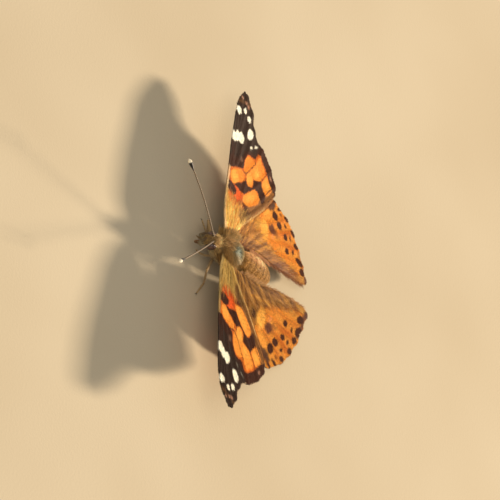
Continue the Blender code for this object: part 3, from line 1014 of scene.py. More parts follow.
def hindwing_upper(s, t, side):
    """Pigment of the upper hindwing: tawny hair inward, orange outward, blotches and spot rows."""
    left = side > 0
    gap = vein_gap(HINDWING, s, t)
    s, t = s - HIND_SHIFT[side][0], t - HIND_SHIFT[side][1]
    streak = rays(s, t, 0.9, 20)
    tawny = 8.4 - t - 0.9 * (s - 7) + 0.7 * drift(s, t, 2.5, 21) + 0.6 * streak
    inner = 6.3 - s + 0.03 * t + 0.35 * drift(s, t, 2.0, 22) + 0.5 * streak
    edge = (4.9 if left else 3.9) - s + 0.12 * (t - 8) + 0.5 * streak
    hairy = np.maximum(tawny, inner) > 0
    ragged = 0.12 * drift(s, t, 1.2, 23)
    fold = inside_spot(s, t, (4.2, 13.2), (1.7, 5.2), -9) + 0.4 * streak
    hem = inside_line(s, t, HEM_LINE, 0.5) + 0.15 * drift(s, t, 1.2, 24)
    # The tawny zone is painted brighter on the right wing as sunlight, and duller on the left as shade.
    hair = [
        ("#C46218", inside_spot(s, t, (12.2, 13.0), (2.8, 2.2), -40), 1.0, 0.7),
        ("#E09A3C", gap - 0.6 + 0.5 * streak, 0.5, 0.55),
        ("#B67A2C" if left else "#E29C3E", tawny, 1.6),
        ("#9C6426", inner, 1.0, 0.85),
        ("#785232" if left else "#6E4430", edge, 0.9, 0.85),
        ("#E8AC4E", only_where(hairy, streak - 0.15), 0.4, 0.55),
        ("#6A4420", only_where(hairy, -0.3 - streak), 0.3, 0.55),
        ("#74422C", fold, 0.9, 0.25 if left else 0.75),
    ]
    blotches = [
        *((code, inside_spot(s, t, *oval) + ragged, soft, strength)
          for code, *oval, soft, strength in HIND_BLOTCHES),
        ("#4E3020", inside_line(s, t, FRONT_STREAK, 0.55), 0.3, 0.85),
        ("#4A2A16", inside_spot(s, t, (8.1, 4.7), (1.3, 0.8), 20), 0.45, 1.0 if left else 0.3),
        ("#5C3A30", hem, 0.35, 0.9 if left else 0.45),
    ]
    spots = [
        *(("#45200E", inside_spot(s, t, *spot), 0.14) for spot in HIND_SPOTS + CORNER_SPOTS[side]),
        ("#5A4038", inside_spot(s, t, (7.1, 19.7), (1.0, 0.7)), 0.3, 0.9),
        ("#7A4820", 0.06 - gap, 0.1, 0.45),
    ]
    return layered(even_colour("#D07E28" if left else "#DC8226", len(s)), hair + blotches + spots)


print("dark spots on a hindwing:", len(HIND_SPOTS) + len(CORNER_SPOTS[1]))

# %% [markdown]
# Below, the hindwing is quite different: a marbled olive and cream camouflage with a row of small
# eyespots. The photograph hides it, so it is worked out from the species.

# %% Under hindwing pattern
EYESPOTS = [((15.7, 6.9), 0.5), ((14.0, 9.1), 1.05), ((12.6, 11.0), 0.62), ((11.4, 12.6), 0.62),
            ((9.2, 14.0), 1.0)]
EYESPOT_RINGS = ((1.0, "#4A3B2C"), (0.82, "#C9B26A"), (0.55, "#2A2420"), (0.25, "#6F8CA8"))


def hindwing_under(s, t, side):
    """Pigment of the lower hindwing: olive marbling, cream veins, eyespots and a lilac margin. It
    takes a side as the other patterns do, though both sides are alike."""
    rim = inside_outline(s, t, HINDWING["outline"])
    outer = np.hypot(s, t) > 11
    return layered(even_colour("#97836A", len(s)), [
        ("#6E5C44", drift(s, t, 3.2, 31) - 0.1, 0.3),
        ("#C9BBA2", drift(s, t, 2.4, 32) - 0.35, 0.2),
        ("#E4DAC6", drift(s + 0.4 * t, t, 1.8, 33) - 0.7, 0.15),
        ("#E8DFCB", 0.1 - vein_gap(HINDWING, s, t), 0.1, 0.9),
        ("#D8CBB4", only_where(outer, 0.5 - np.abs(rim - 3.6)), 0.4, 0.7),
        ("#948C98", only_where(outer, 0.2 - np.abs(rim - 1.0)), 0.2, 0.6),
        ("#5A4A3A", only_where(outer, 0.08 - np.abs(rim - 0.6)), 0.08, 0.8),
        *((code, inside_spot(s, t, centre, (radius * share, radius * share)), 0.08)
          for centre, radius in EYESPOTS for share, code in EYESPOT_RINGS),
    ])


print("eyespots under a hindwing:", len(EYESPOTS))

# %% [markdown]
# Scales, hair and skin are all chitin, the stuff of a beetle's shell, so one function makes their
# finishes and each takes its own numbers. The pigment comes from the colour stored in each point,
# and a fine grain mottles it. Real scales have ridges 0.002 mm apart, which can't show, so the
# grain is drawn as wide as a whole scale, about 0.1 mm.

# %% Finishes of chitin
MEMBRANE_GRAINS_PER_MM = 9.0
SCALE_GRAINS_PER_MM = 13.5
HAIR_GRAINS_PER_MM = 6.0


def pigmented(name, roughness, grains_per_mm, spread, bump_mm, sheen, specular):
    """Chitin: its pigment times one plus or minus spread, and a roughness that varies by 0.1,
    both following a noise with the given number of grains to a millimetre."""
    finish, tree = start_material(name)
    pigment = add_node(tree, "ShaderNodeAttribute", {"attribute_name": "pigment"})
    where = add_node(tree, "ShaderNodeTexCoord")
    noise = add_node(
        tree, "ShaderNodeTexNoise", Vector=where.outputs["Object"], Scale=grains_per_mm / MM, Detail=3.0,
    ).outputs["Fac"]
    value = add_node(
        tree, "ShaderNodeMapRange", Value=noise, From_Min=0.3, From_Max=0.7,
        To_Min=1 - spread, To_Max=1 + spread,
    )
    colour = add_node(
        tree, "ShaderNodeHueSaturation", Color=pigment.outputs["Color"], Value=value.outputs["Result"],
    )
    rough = add_node(
        tree, "ShaderNodeMapRange", Value=noise, From_Min=0.3, From_Max=0.7,
        To_Min=roughness - 0.1, To_Max=roughness + 0.1,
    )
    bump = add_node(tree, "ShaderNodeBump", Strength=0.5, Distance=bump_mm * MM, Height=noise)
    shader = add_node(
        tree, "ShaderNodeBsdfPrincipled", Base_Color=colour.outputs["Color"],
        Roughness=rough.outputs["Result"], Normal=bump.outputs["Normal"],
        Specular_IOR_Level=specular, Sheen_Weight=sheen, Sheen_Roughness=0.5,
    )
    add_node(tree, "ShaderNodeOutputMaterial", Surface=shader.outputs["BSDF"])
    return finish


# Bare membrane and veins are dull, as dry skin is.
MEMBRANE = pigmented("chitin_membrane", 0.7, MEMBRANE_GRAINS_PER_MM, 0.12, 0.02, 0.0, 0.12)
VEIN = pigmented("vein_chitin", 0.6, MEMBRANE_GRAINS_PER_MM, 0.1, 0.01, 0.0, 0.12)
# Ribbed scales scatter light broadly, which looks like powder with a trace of silk.
WING_SCALE = pigmented("wing_scale_chitin", 0.68, SCALE_GRAINS_PER_MM, 0.1, 0.01, 0.02, 0.1)
# Hair catches a little more light along its edges, which reads as softness.
FINE_HAIR = pigmented("chitin_hair", 0.6, HAIR_GRAINS_PER_MM, 0.12, 0.01, 0.08, 0.2)
print("grains of a wing scale are", round(1 / SCALE_GRAINS_PER_MM, 3), "mm wide")

# %% [markdown]
# The membrane is one closed, very thin shell: a sheet of points over the wing and the same sheet
# again a fraction of a millimetre lower, joined round the rim. Its two faces have their own
# halves of the unwrap, because they carry different patterns.

# %% Wing membranes
ACROSS_STEPS = 84
RIM_THINNING = 0.4
UPPER_HALF = (0.01, 0.49)
UNDER_HALF = (0.51, 0.99)
WINGS = {
    "forewing": (FOREWING, (forewing_pattern, forewing_under)),
    "hindwing": (HINDWING, (hindwing_upper, hindwing_under)),
}


def wing_unwrap(wing, s, t, under=False):
    """Place on the wing's unwrap: outward is 0 to 1, rearward fills the half of its own face."""
    low = wing["outline"].min(0)
    size = np.ptp(wing["outline"], axis=0)
    first, last = UNDER_HALF if under else UPPER_HALF
    return np.column_stack([
        0.01 + 0.98 * (s - low[0]) / size[0],
        first + (last - first) * (t - low[1]) / size[1],
    ])


def wing_points(wing, side, s, t, height):
    """Points over the flat wing, mirrored for the right side and set on the wing's plane."""
    flat = np.column_stack([s * side, t, wing_height(wing, side, s, t) + height])
    return place(flat, wing_plane(wing, side))


def make_membrane(kind, label, side):
    """Straight lines from the leading to the trailing curve, above and again below."""
    wing, patterns = WINGS[kind]
    share = np.linspace(0, 1, ACROSS_STEPS)[None, :, None]
    sheet = (wing["lead_curve"][:, None] * (1 - share) + wing["trail_curve"][:, None] * share)[:-1]
    both = np.concatenate([sheet, sheet[:, ::-1]], 1)
    rows = len(both)
    s, t = both.reshape(-1, 2).T
    upper = np.tile(np.repeat([1, -1], ACROSS_STEPS), rows)
    thick = np.full(2 * ACROSS_STEPS, MEMBRANE_HALF)
    thick[[0, ACROSS_STEPS - 1, ACROSS_STEPS, -1]] *= RIM_THINNING
    rings = wing_points(wing, side, s, t, upper * np.tile(thick, rows)).reshape(rows, -1, 3)
    tip = wing["lead_curve"][-1]
    poles = np.vstack([rings[0].mean(0), wing_points(wing, side, tip[:1], tip[1:], 0.0)])
    colours = np.where((upper > 0)[:, None], patterns[0](s, t, side), patterns[1](s, t, side))
    body = shell(rings, poles, colours)
    unwrap = np.where((upper > 0)[:, None], wing_unwrap(wing, s, t), wing_unwrap(wing, s, t, True))
    unwrap = np.vstack([unwrap, unwrap[:1], unwrap[-1:]])
    body["map"] = [unwrap[faces] for faces in body["faces"]]
    make_piece(f"{kind}_membrane_{label}", body, MEMBRANE, [f"{kind}_{label}"])


print("a membrane is", 2 * MEMBRANE_HALF, "mm thick and its veins stand", VEIN_FOLD, "mm above it")

# %% [markdown]
# A vein is a hollow tube that carries the wing as a batten carries a sail. It is thickest at the
# root and tapers outward, and it swells the membrane on both faces.

# %% Wing veins
VEIN_SIDES = 8
VEIN_ROWS = 60
VEIN_RADIUS = 0.115
VEIN_END_RADIUS = 0.055
VEIN_SHADE = 0.7


def make_veins(kind, label, side):
    """Each vein is a tube whose radius shrinks with the distance from the wing's hinge."""
    wing, patterns = WINGS[kind]
    shells = []
    for line in wing["veins"]:
        s, t = smooth_path(line, VEIN_ROWS).T
        centre = wing_points(wing, side, s, t, 0.0)
        radii = np.clip(VEIN_RADIUS - 0.05 * np.hypot(s, t) / 20, VEIN_END_RADIUS, VEIN_RADIUS)
        rings = tube_rings(centre, radii, VEIN_SIDES)[1:-1]
        colours = np.repeat(patterns[0](s[1:-1], t[1:-1], side) * VEIN_SHADE, VEIN_SIDES, 0)
        shells.append(shell(rings, [centre[0], centre[-1]], colours))
    make_piece(f"{kind}_veins_{label}", join_shells(shells), VEIN)


for kind in WINGS:
    for label, side in SIDES.items():
        make_membrane(kind, label, side)
        make_veins(kind, label, side)

# %% [markdown]
# Scales grow in rows like roof tiles, each one covering the root of the next. The rows here are
# arcs about the wing's root, and a little disorder keeps them from looking printed.

# %% Rows of scales
SCALE_ROOT = np.array((-1.5, 0.0))
FIRST_ROW = 1.6
ROW_GAP = 0.2
SCALE_GAP = 0.165


def scale_rows(wing, chance):
    """Roots on arcs about the wing's root, every other row shifted by half a scale."""
    reach = wing["outline"] - SCALE_ROOT
    angles = np.arctan2(reach[:, 1], reach[:, 0])
    low, high = angles.min(), angles.max()
    radii = np.arange(FIRST_ROW, np.hypot(*reach.T).max(), ROW_GAP)
    count = np.ceil((high - low) * radii / SCALE_GAP).astype(int)
    row = np.repeat(np.arange(len(radii)), count)
    order = np.arange(len(row)) - np.repeat(np.cumsum(count) - count, count)
    nudge = chance.uniform(-0.18, 0.18, (2, len(row)))
    angle = low + (order + 0.5 * (row % 2) + nudge[0]) * SCALE_GAP / radii[row]
    radius = radii[row] + nudge[1] * ROW_GAP
    s, t = SCALE_ROOT[0] + radius * np.cos(angle), SCALE_ROOT[1] + radius * np.sin(angle)
    keep = inside_outline(s, t, wing["outline"]) > 0.05
    return s[keep], t[keep], angle[keep]


print("scales that a forewing needs on one face:", len(scale_rows(FOREWING, np.random.default_rng(1))[0]))

# %% [markdown]
# A scale is a tiny shield of five points and six faces, closed all round. Real ones are about
# 0.1 mm long, too many and too small to show, so these are drawn over three times as long. Each
# takes one flat colour from the pattern, which makes the pattern's edges ragged.

# %% Wing scales
SCALE_LENGTH = 0.36
SCALE_WIDTH = 0.62
SCALE_SHAPE = np.array([
    (0.0, 0.0, 0.0), (-0.5, 0.45, -0.3), (-0.36, 1.0, 1.0), (0.36, 1.0, 1.0), (0.5, 0.45, -0.3),
])
SCALE_FACES = np.array([(0, 4, 3), (0, 3, 2), (0, 2, 1), (0, 1, 4), (1, 2, 3), (1, 3, 4)])
SCALE_TILT = 0.055
SCALE_LIFT = 0.012


def make_scales(kind, label, side, under, seed):
    """A shield per root: across is square to the ray, along is the ray, and the tip is raised."""
    chance = np.random.default_rng(seed)
    wing, patterns = WINGS[kind]
    s, t, angle = scale_rows(wing, chance)
    count = len(s)
    angle = angle + chance.normal(0, 0.1, count)
    size = SCALE_LENGTH * chance.uniform(0.85, 1.1, (count, 1))
    face = -1 if under else 1
    over = SCALE_SHAPE[None, :, 0] * size * SCALE_WIDTH
    along = SCALE_SHAPE[None, :, 1] * size
    raised = SCALE_SHAPE[None, :, 2] * SCALE_TILT * chance.uniform(0.7, 1.3, (count, 1))
    spot_s = s[:, None] + along * np.cos(angle)[:, None] - over * np.sin(angle)[:, None]
    spot_t = t[:, None] + along * np.sin(angle)[:, None] + over * np.cos(angle)[:, None]
    height = face * (MEMBRANE_HALF + SCALE_LIFT + raised)
    points = wing_points(wing, side, spot_s.ravel(), spot_t.ravel(), height.ravel())
    faces = (len(SCALE_SHAPE) * np.arange(count)[:, None, None] + SCALE_FACES).reshape(-1, 3)
    if face * side < 0:
        faces = faces[:, ::-1]
    corner = SCALE_SHAPE[:, :2] + (0, -0.5)
    unwrap = wing_unwrap(wing, s, t, under)[:, None] + corner[None] * PATCH
    jitter = chance.normal(0, 0.05, (2, count))
    middle_s = s + 0.5 * SCALE_LENGTH * np.cos(angle) + jitter[0]
    middle_t = t + 0.5 * SCALE_LENGTH * np.sin(angle) + jitter[1]
    colours = tinted(patterns[int(under)](middle_s, middle_t, side), chance, 0.13, 0.04)
    body = {
        "points": points, "faces": [faces], "map": [unwrap.reshape(-1, 2)[faces]],
        "colours": np.repeat(colours, len(SCALE_SHAPE), 0),
    }
    name = f"{kind}_{'under' if under else 'upper'}_scales_{label}"
    make_piece(name, body, WING_SCALE, smooth=False)


for kind in WINGS:
    for label, side in SIDES.items():
        for under in (False, True):
            make_scales(kind, label, side, under, 100 + side + 10 * under)

# %% [markdown]
# The outer margins carry a fringe, chequered pale between the veins and dark at their ends. It is
# a double row of short locks that point away from the wing.

# %% Fringes
FRINGE_GAP = 0.055
FRINGE_TONES = {"forewing": ("#3A2A20", "#B8A082"), "hindwing": ("#5A3820", "#C89450")}


def wing_locks(wing, side, s, t, height, heading, length, width, lift, root_colour, tip_colour, sway):
    """Locks on a wing: roots at a height over its plane, lying along headings on the flat wing."""
    plane = wing_plane(wing, side)
    roots = wing_points(wing, side, s, t, height)
    lies = np.column_stack([heading[:, 0] * side, heading[:, 1], np.zeros(len(s))]) @ plane[0].T
    normals = np.tile(plane[0][:, 2], (len(s), 1))
    return locks(
        world_frame, roots, normals, lies, length, width, lift, root_colour, tip_colour,
        wing_unwrap(wing, s, t), sway,
    )


def along_curve(curve, at):
    """Points of a curve at given lengths along it."""
    length = run_lengths(curve)
    return np.column_stack([np.interp(at, length, column) for column in curve.T])


def make_fringe(kind, label, side, seed):
    """Locks along the outer margin that point away from the wing, coloured by the nearest vein."""
    chance = np.random.default_rng(seed)
    wing = WINGS[kind][0]
    shells = []
    for edge, (low, high) in wing["fringe"].items():
        curve = wing[edge + "_curve"]
        whole = run_lengths(curve)[-1]
        at = np.arange(low * whole, high * whole, FRINGE_GAP)
        at = np.repeat(at, 2) + chance.uniform(-0.03, 0.03, 2 * len(at))
        spots = along_curve(curve, at)
        step = along_curve(curve, at + 0.1) - spots
        out = unit(np.column_stack([step[:, 1], -step[:, 0]]))
        out *= np.sign(((spots - WING_MIDDLE) * out).sum(1, keepdims=True))
        out = unit(out + chance.normal(0, 0.15, out.shape) + 0.25 * unit(spots))
        s, t = (spots - 0.1 * out).T
        height = chance.uniform(-0.03, 0.04, len(s))
        pale = np.clip((vein_gap(wing, s, t) - 0.45) / 0.15, 0, 1)[:, None]
        colours = tinted(mixed(*FRINGE_TONES[kind], pale), chance)
        shells.append(wing_locks(
            wing, side, s, t, height, out, chance.uniform(0.3, 0.5, len(s)), 0.035, 0.0,
            colours * 0.8, colours, chance.normal(0, 0.12, len(s)),
        ))
    make_piece(f"{kind}_fringe_{label}", join_shells(shells), FINE_HAIR)


print("locks to a millimetre of fringe:", round(2 / FRINGE_GAP, 1))

# %% [markdown]
# The roots of the wings and the inner part of the hindwings are covered in long golden hair, with
# the pattern showing through. Each lock is a mixture of the pattern under it and of gold, with
# less gold where the pattern is dark. The gold is brighter on the right wings: painted sunlight.

# %% Hair on the wings
# Gold at the tips of the wing hair, brighter on the right: painted sunlight on the right wings.
GOLD_TIPS_SUNLIT_RIGHT = {"forewing": {1: "#D8B866", -1: "#FFD070"}, "hindwing": {1: "#C89444", -1: "#E0A04C"}}
FOREWING_LOCKS = 2600
HINDWING_LOCKS = 4200


def forewing_reach(s, t):
    """Share of locks that stays: all at the root, fewer until none is left at 7.6 mm."""
    return np.clip((7.6 - s - 0.1 * t) / 3.5, 0, 1)


def hindwing_reach(s, t):
    """The same for the hindwing, where hair also runs down the inner part."""
    inner = np.clip((6.5 - s) / 2.5, 0, 1) * np.clip((17.5 - t) / 4, 0.15, 1)
    root = np.clip((9.5 - np.hypot(s, t)) / 4, 0, 1)
    return np.maximum(inner, root)


def make_wing_hair(kind, label, side, seed, count, reach_of):
    """Long locks that lie outward over the root of a wing, thinning out where reach_of ends."""
    chance = np.random.default_rng(seed)
    wing, patterns = WINGS[kind]
    low, high = wing["outline"].min(0), wing["outline"].max(0)
    s = chance.uniform(low[0], high[0], 8 * count)
    t = chance.uniform(low[1], high[1], 8 * count)
    keep = (inside_outline(s, t, wing["outline"]) > 0.15) & (chance.random(len(s)) < reach_of(s, t))
    s, t = s[keep][:count], t[keep][:count]
    angle = np.arctan2(t, s + RAY_START) + chance.normal(0, 0.13, len(s))
    heading = np.column_stack([np.cos(angle), np.sin(angle)])
    ground = patterns[0](s, t, side)
    gold = np.clip(chance.uniform(0.0, 0.7, len(s)) + 0.5 * rays(s, t, 0.9, seed), 0, 1)[:, None]
    gold *= np.clip(ground[:, :1] / 0.35, 0.4, 1) ** 1.6
    tips = tinted(ground * (1 - gold) + linear(GOLD_TIPS_SUNLIT_RIGHT[kind][side]) * gold, chance, 0.22)
    length = chance.uniform(0.9, 1.7, len(s)) * np.clip(np.hypot(s, t) / 5, 0.7, 1.1)
    body = wing_locks(
        wing, side, s, t, MEMBRANE_HALF + 0.03, heading, length, 0.04, 0.12,
        tips * 0.9, tips, chance.normal(0, 0.1, len(s)),
    )
    make_piece(f"{kind}_hair_{label}", body, FINE_HAIR)


print("share of hair that stays 5 mm out on a forewing:", forewing_reach(5.0, 0.0).round(2))

# %% [markdown]
# Two margins need hair of their own. The leading vein of the forewing is furred all round. The
# inner margin of the hindwing has a beard where it folds by the body, with a paler tuft that
# leans over the belly. The right tuft's peach colour is painted sunlight on the pale hair.

# %% Hair on the margins
EDGE_LOCKS = 1100
EDGE_ROWS = 200
BEARD_TUFTS = {
    1: [
        {"count": 520, "span": (0.06, 0.62), "turn": 100, "lift": 0.0, "colour": "#AC7C44"},
        {"count": 340, "span": (0.1, 0.27), "turn": 128, "lift": 0.35, "colour": "#BC8C50"},
    ],
    -1: [
        {"count": 520, "span": (0.06, 0.62), "turn": 100, "lift": 0.0, "colour": "#96643E"},
        # The right tuft's peach colour is painted sunlight on top of pale hair.
        {"count": 480, "span": (0.14, 0.31), "turn": 146, "lift": 0.4, "colour": "#E0A878"},
    ],
}


def make_margin_hair(label, side, seed):
    """Locks with roots in a span of the trailing curve, whose headings are a turn in degrees."""
    chance = np.random.default_rng(seed)
    curve = HINDWING["trail_curve"]
    shells = []
    for tuft in BEARD_TUFTS[side]:
        count = tuft["count"]
        at = np.sort(chance.uniform(*tuft["span"], count)) * (len(curve) - 1)
        s, t = (np.interp(at, np.arange(len(curve)), column) for column in curve.T)
        s = s + chance.uniform(0.0, 0.35, count)
        height = chance.uniform(-0.04, 0.05, count)
        angle = np.radians(tuft["turn"]) + chance.normal(0, 0.2, count)
        heading = np.column_stack([np.cos(angle), np.sin(angle)])
        colours = tinted(even_colour(tuft["colour"], count), chance, 0.18)
        shells.append(wing_locks(
            HINDWING, side, s, t, height, heading, chance.uniform(0.7, 1.4, count), 0.035, tuft["lift"],
            colours * 0.7, colours, chance.normal(0.12, 0.12, count),
        ))
    make_piece(f"hindwing_margin_hair_{label}", join_shells(shells), FINE_HAIR)


def make_edge_hair(label, side, seed):
    """Short locks that lie outward along the leading vein and cover it all round."""
    chance = np.random.default_rng(seed)
    s, t = smooth_path(FOREWING["veins"][0], EDGE_ROWS).T
    rings = tube_rings(wing_points(FOREWING, side, s, t, 0.0), 0.07, VEIN_SIDES)
    row, column = scatter(rings, EDGE_LOCKS, chance)
    point, normal, along = on_rings(rings, row, column)
    normal *= np.sign(((point - rings.mean(1)[row.astype(int)]) * normal).sum(1, keepdims=True))
    s, t = np.interp(row, np.arange(EDGE_ROWS), s), np.interp(row, np.arange(EDGE_ROWS), t)
    colours = tinted(forewing_pattern(s, t + 0.25, side), chance, 0.2)
    body = locks(
        world_frame, point, normal, along + chance.normal(0, 0.08, along.shape),
        chance.uniform(0.25, 0.5, EDGE_LOCKS), 0.035, 0.12, colours * 0.7, colours,
        wing_unwrap(FOREWING, s, t), chance.normal(0, 0.06, EDGE_LOCKS),
    )
    make_piece(f"forewing_edge_hair_{label}", body, FINE_HAIR)


for label, side in SIDES.items():
    make_fringe("forewing", label, side, 301 + side)
    make_fringe("hindwing", label, side, 311 + side)
    make_wing_hair("forewing", label, side, 321 + side, FOREWING_LOCKS, forewing_reach)
    make_wing_hair("hindwing", label, side, 331 + side, HINDWING_LOCKS, hindwing_reach)
    make_margin_hair(label, side, 341 + side)
    make_edge_hair(label, side, 351 + side)

# %% [markdown]
# Head, chest and belly are one skin here, so that no seam shows: rings square to the body's
# length whose half width and half height swell and narrow. The belly's rings dip at each joint
# of its segments. The skin lies inside the solids by the depth of the fur that covers it.

# %% Body skin
BODY_STATIONS = [
    (-4.68, 0.05, 0.06, -1.3, 0.2), (-4.62, 0.28, 0.3, -1.29, 0.2), (-4.46, 0.52, 0.6, -1.27, 0.2),
    (-4.15, 0.74, 0.88, -1.22, 0.2),
    (-3.6, 0.86, 1.06, -1.18, 0.2), (-3.0, 0.84, 1.0, -1.2, 0.18), (-2.5, 0.66, 0.72, -1.28, 0.14),
    (-2.2, 0.72, 0.8, -1.35, 0.1), (-1.8, 1.15, 1.22, -1.45, 0.05), (-1.1, 1.72, 1.75, -1.5, 0.0),
    (0.0, 2.12, 2.1, -1.54, 0.0), (1.2, 2.25, 2.2, -1.55, 0.0), (2.5, 2.1, 2.05, -1.55, 0.0),
    (3.5, 1.72, 1.68, -1.6, 0.0), (4.3, 1.3, 1.28, -1.68, 0.0), (4.9, 1.22, 1.2, -1.76, 0.0),
    (5.8, 1.62, 1.6, -1.88, 0.0), (7.0, 1.98, 1.95, -2.04, 0.0), (8.6, 2.2, 2.15, -2.26, 0.0),
    (10.2, 2.22, 2.18, -2.48, 0.0), (11.8, 2.06, 2.02, -2.7, 0.0), (13.2, 1.66, 1.62, -2.88, 0.0),
    (14.3, 1.12, 1.1, -3.02, 0.0), (14.9, 0.66, 0.64, -3.1, 0.0), (15.15, 0.3, 0.3, -3.13, 0.0),
]
BODY_ROWS = 190
BODY_SIDES = 60
WAIST = 5.0
SEGMENT_LENGTH = 1.32
SEGMENT_DIP = 0.035
SKIN_GRAINS_PER_MM = 7.0
SKIN_SHADE = 0.8


def segment_gap(y):
    """Distance along the body to the nearest joint between two segments of the belly."""
    phase = (y - WAIST) / SEGMENT_LENGTH
    return np.abs(phase - np.round(phase)) * SEGMENT_LENGTH


def body_rings():
    """Ellipses along the body, with a narrow dip of the radius at each belly segment. A station
    is the place along the body, half width, half height, height and offset to the side."""
    y, half_width, half_height, z, x = smooth_path(BODY_STATIONS, BODY_ROWS).T
    dip = 1 - SEGMENT_DIP * np.exp(-((segment_gap(y) / 0.13) ** 2)) * (y > WAIST + 0.6)
    angle = ring_angles(BODY_SIDES)
    return np.stack([
        x[:, None] + (half_width * dip)[:, None] * np.cos(angle),
        np.tile(y[:, None], BODY_SIDES),
        z[:, None] + (half_height * dip)[:, None] * np.sin(angle),
    ], -1)


skin_rings = body_rings()
print("body length in mm:", np.ptp(skin_rings[..., 1]).round(2))

# %% [markdown]
# Skin and fur carry the same markings, so one function colours both from the place on the body.
# Painting them apart would let the skin show through the fur as a second pattern.

# %% Body colours
PAINTED_GLINT_CENTRE = (0.85, 1.05)


def body_colour(y, up, x):
    """Olive and gold above with a grey-green chest patch, partly painted sheen, and a painted highlight;
    painted sunlight on the right of the belly; pale buff below, and a dark line across each belly
    segment. Up is the height of the outward direction, from -1 below to 1 above."""
    above = up > 0
    return layered(even_colour("#7C5628", len(y)), [
        ("#7C6E44", 1.2 - np.abs(y - 2.6), 1.2, 0.5),
        # The chest patch: grey-green, partly the colour of its short bare hair and partly painted sheen; the
        # pale oval in it is a painted highlight.
        ("#6A6A48", inside_spot(x, y, (0.6, 1.3), (1.6, 1.9)), 0.8, 0.6),
        ("#4C5A4E", inside_spot(x, y, PAINTED_GLINT_CENTRE, (0.9, 1.15)), 0.4, 0.9),
        ("#DCE0CC", inside_spot(x, y, PAINTED_GLINT_CENTRE, (0.46, 0.25), 55), 0.22, 0.9),
        ("#B0803C", y - 4.6, 0.7),
        ("#7A5628", only_where(y > 5, 0.3 - np.abs(x)), 0.5, 0.5),
        # Painted sunlight: two peach patches on top of the belly's right side.
        ("#E8A870", only_where(above, inside_spot(x, y, (-1.0, 7.4), (1.2, 2.2))), 0.6, 0.8),
        ("#FFC68E", only_where(above, inside_spot(x, y, (-0.7, 9.5), (0.95, 1.4))), 0.5, 0.95),
        ("#7A5628", only_where(y > 5.6, 0.14 - segment_gap(y)), 0.25, 0.35),
        ("#A08050", -1.5 - y, 0.5),
        ("#A8885C", only_where(up > 0.3, 0.9 - np.abs(y + 3.3)), 0.4, 0.7),
        ("#CDBB94", -up - 0.25, 0.35, 0.9),
        ("#B09264", only_where(y > 5, 0.25 - np.abs(up + 0.1)), 0.2, 0.6),
    ])


# Cuticle under fur is matt, with a dusty sheen from its small scales.
SKIN = pigmented("scaled_cuticle", 0.65, SKIN_GRAINS_PER_MM, 0.15, 0.04, 0.15, 0.3)
ring_up = np.tile(np.sin(ring_angles(BODY_SIDES)), BODY_ROWS)
skin_colours = body_colour(skin_rings[..., 1].ravel(), ring_up, skin_rings[..., 0].ravel())
skin_poles = [(0.2, BODY_STATIONS[0][0] - 0.01, -1.3), (0.0, BODY_STATIONS[-1][0] + 0.1, -3.14)]
skin = shell(place(skin_rings, body_frame), place(skin_poles, body_frame), skin_colours * SKIN_SHADE)
make_piece("body_skin", skin, SKIN, ["head", "thorax", "abdomen"])

# %% [markdown]
# The fur is longest on the chest, short on the head, and lies close like velvet on the belly.
# It is planted by area, so no patch is bald, and each lock leans back along the body.

# %% Body coat


def rows_between(first, last):
    """Weight of one for rings between two places along the body, and next to nothing outside."""
    middle = skin_rings[:-1, 0, 1]
    return ((middle > first) & (middle < last)) + 1e-9


def make_coat(name, span, count, length, width, lift, seed, fall=0.0, mess=0.16, above=-2.0, glow=1.0):
    """Locks between two places along the body, lying back and falling down its sides. On the face
    they point down, and only those whose normal is higher than above are kept."""
    chance = np.random.default_rng(seed)
    row, column = scatter(skin_rings, count, chance, rows_between(*span))
    point, normal, along = on_rings(skin_rings, row, column)
    keep = normal[:, 2] > above
    row, column, point, normal, along = (values[keep] for values in (row, column, point, normal, along))
    count = len(row)
    x, y = point[:, 0], point[:, 1]
    along = along + np.array((0, 0, -fall)) * np.abs(normal[:, :1])
    face = np.clip(-3.9 - y, 0, 0.5)[:, None] * 2
    along = along * (1 - face) + np.array((0, -0.3, -1.0)) * face
    along = along + chance.normal(0, mess, along.shape)
    girth = column / BODY_SIDES * 12
    clump = drift(y, girth, 0.9, seed)[:, None]
    along = along + 0.22 * drift(y, girth, 1.3, seed + 1)[:, None] * np.cross(along, normal)
    root = body_colour(y + chance.normal(0, 0.1, count), normal[:, 2], x)
    # No gold goes into the tips over the chest patch, so its painted sheen and highlight stay grey-green.
    bare = np.clip(inside_spot(x, y, PAINTED_GLINT_CENTRE, (1.3, 1.5)) * 2, 0, 1) * (normal[:, 2] > 0)
    gold = linear("#C89A48") * (0.22 * (1 - bare))[:, None]
    tips = tinted((root * 1.3 + gold) * glow * (1 + 0.3 * clump), chance, 0.22, 0.06)
    body = locks(
        body_frame, point, normal, along, length * chance.uniform(0.75, 1.2, count), width, lift,
        root * 0.55, tips, ring_unwrap(skin_rings, row, column), chance.normal(0, 0.14, count),
    )
    make_piece(name, body, FINE_HAIR)


make_coat("chest_fur", (-2.35, 4.9), 5600, 1.15, 0.045, 0.5, 401, fall=0.35)
make_coat("belly_fur", (4.7, 15.1), 5200, 0.55, 0.045, 0.28, 402, fall=0.1)
make_coat("head_fur", (-4.7, -2.2), 2500, 0.7, 0.03, 0.8, 403, fall=0.1, mess=0.34)
make_coat("crown_tuft", (-4.0, -2.7), 480, 1.05, 0.035, 1.1, 404, mess=0.55, above=0.45, glow=1.5)

# %% [markdown]
# Long shoulder hair covers the gap between chest and wings. It grows from the side of the chest
# and lies flat and outward over the wing roots. Its tips are brighter on the right: painted sunlight.

# %% Shoulder fur
SHOULDER_SPAN = (-1.5, 3.9)
SHOULDER_LOCKS = 1500
# Tip colours of the shoulder hair: the right one is brighter, as painted sunlight.
SHOULDER_TIPS_SUNLIT_RIGHT = {1: "#D8A658", -1: "#F0C06C"}


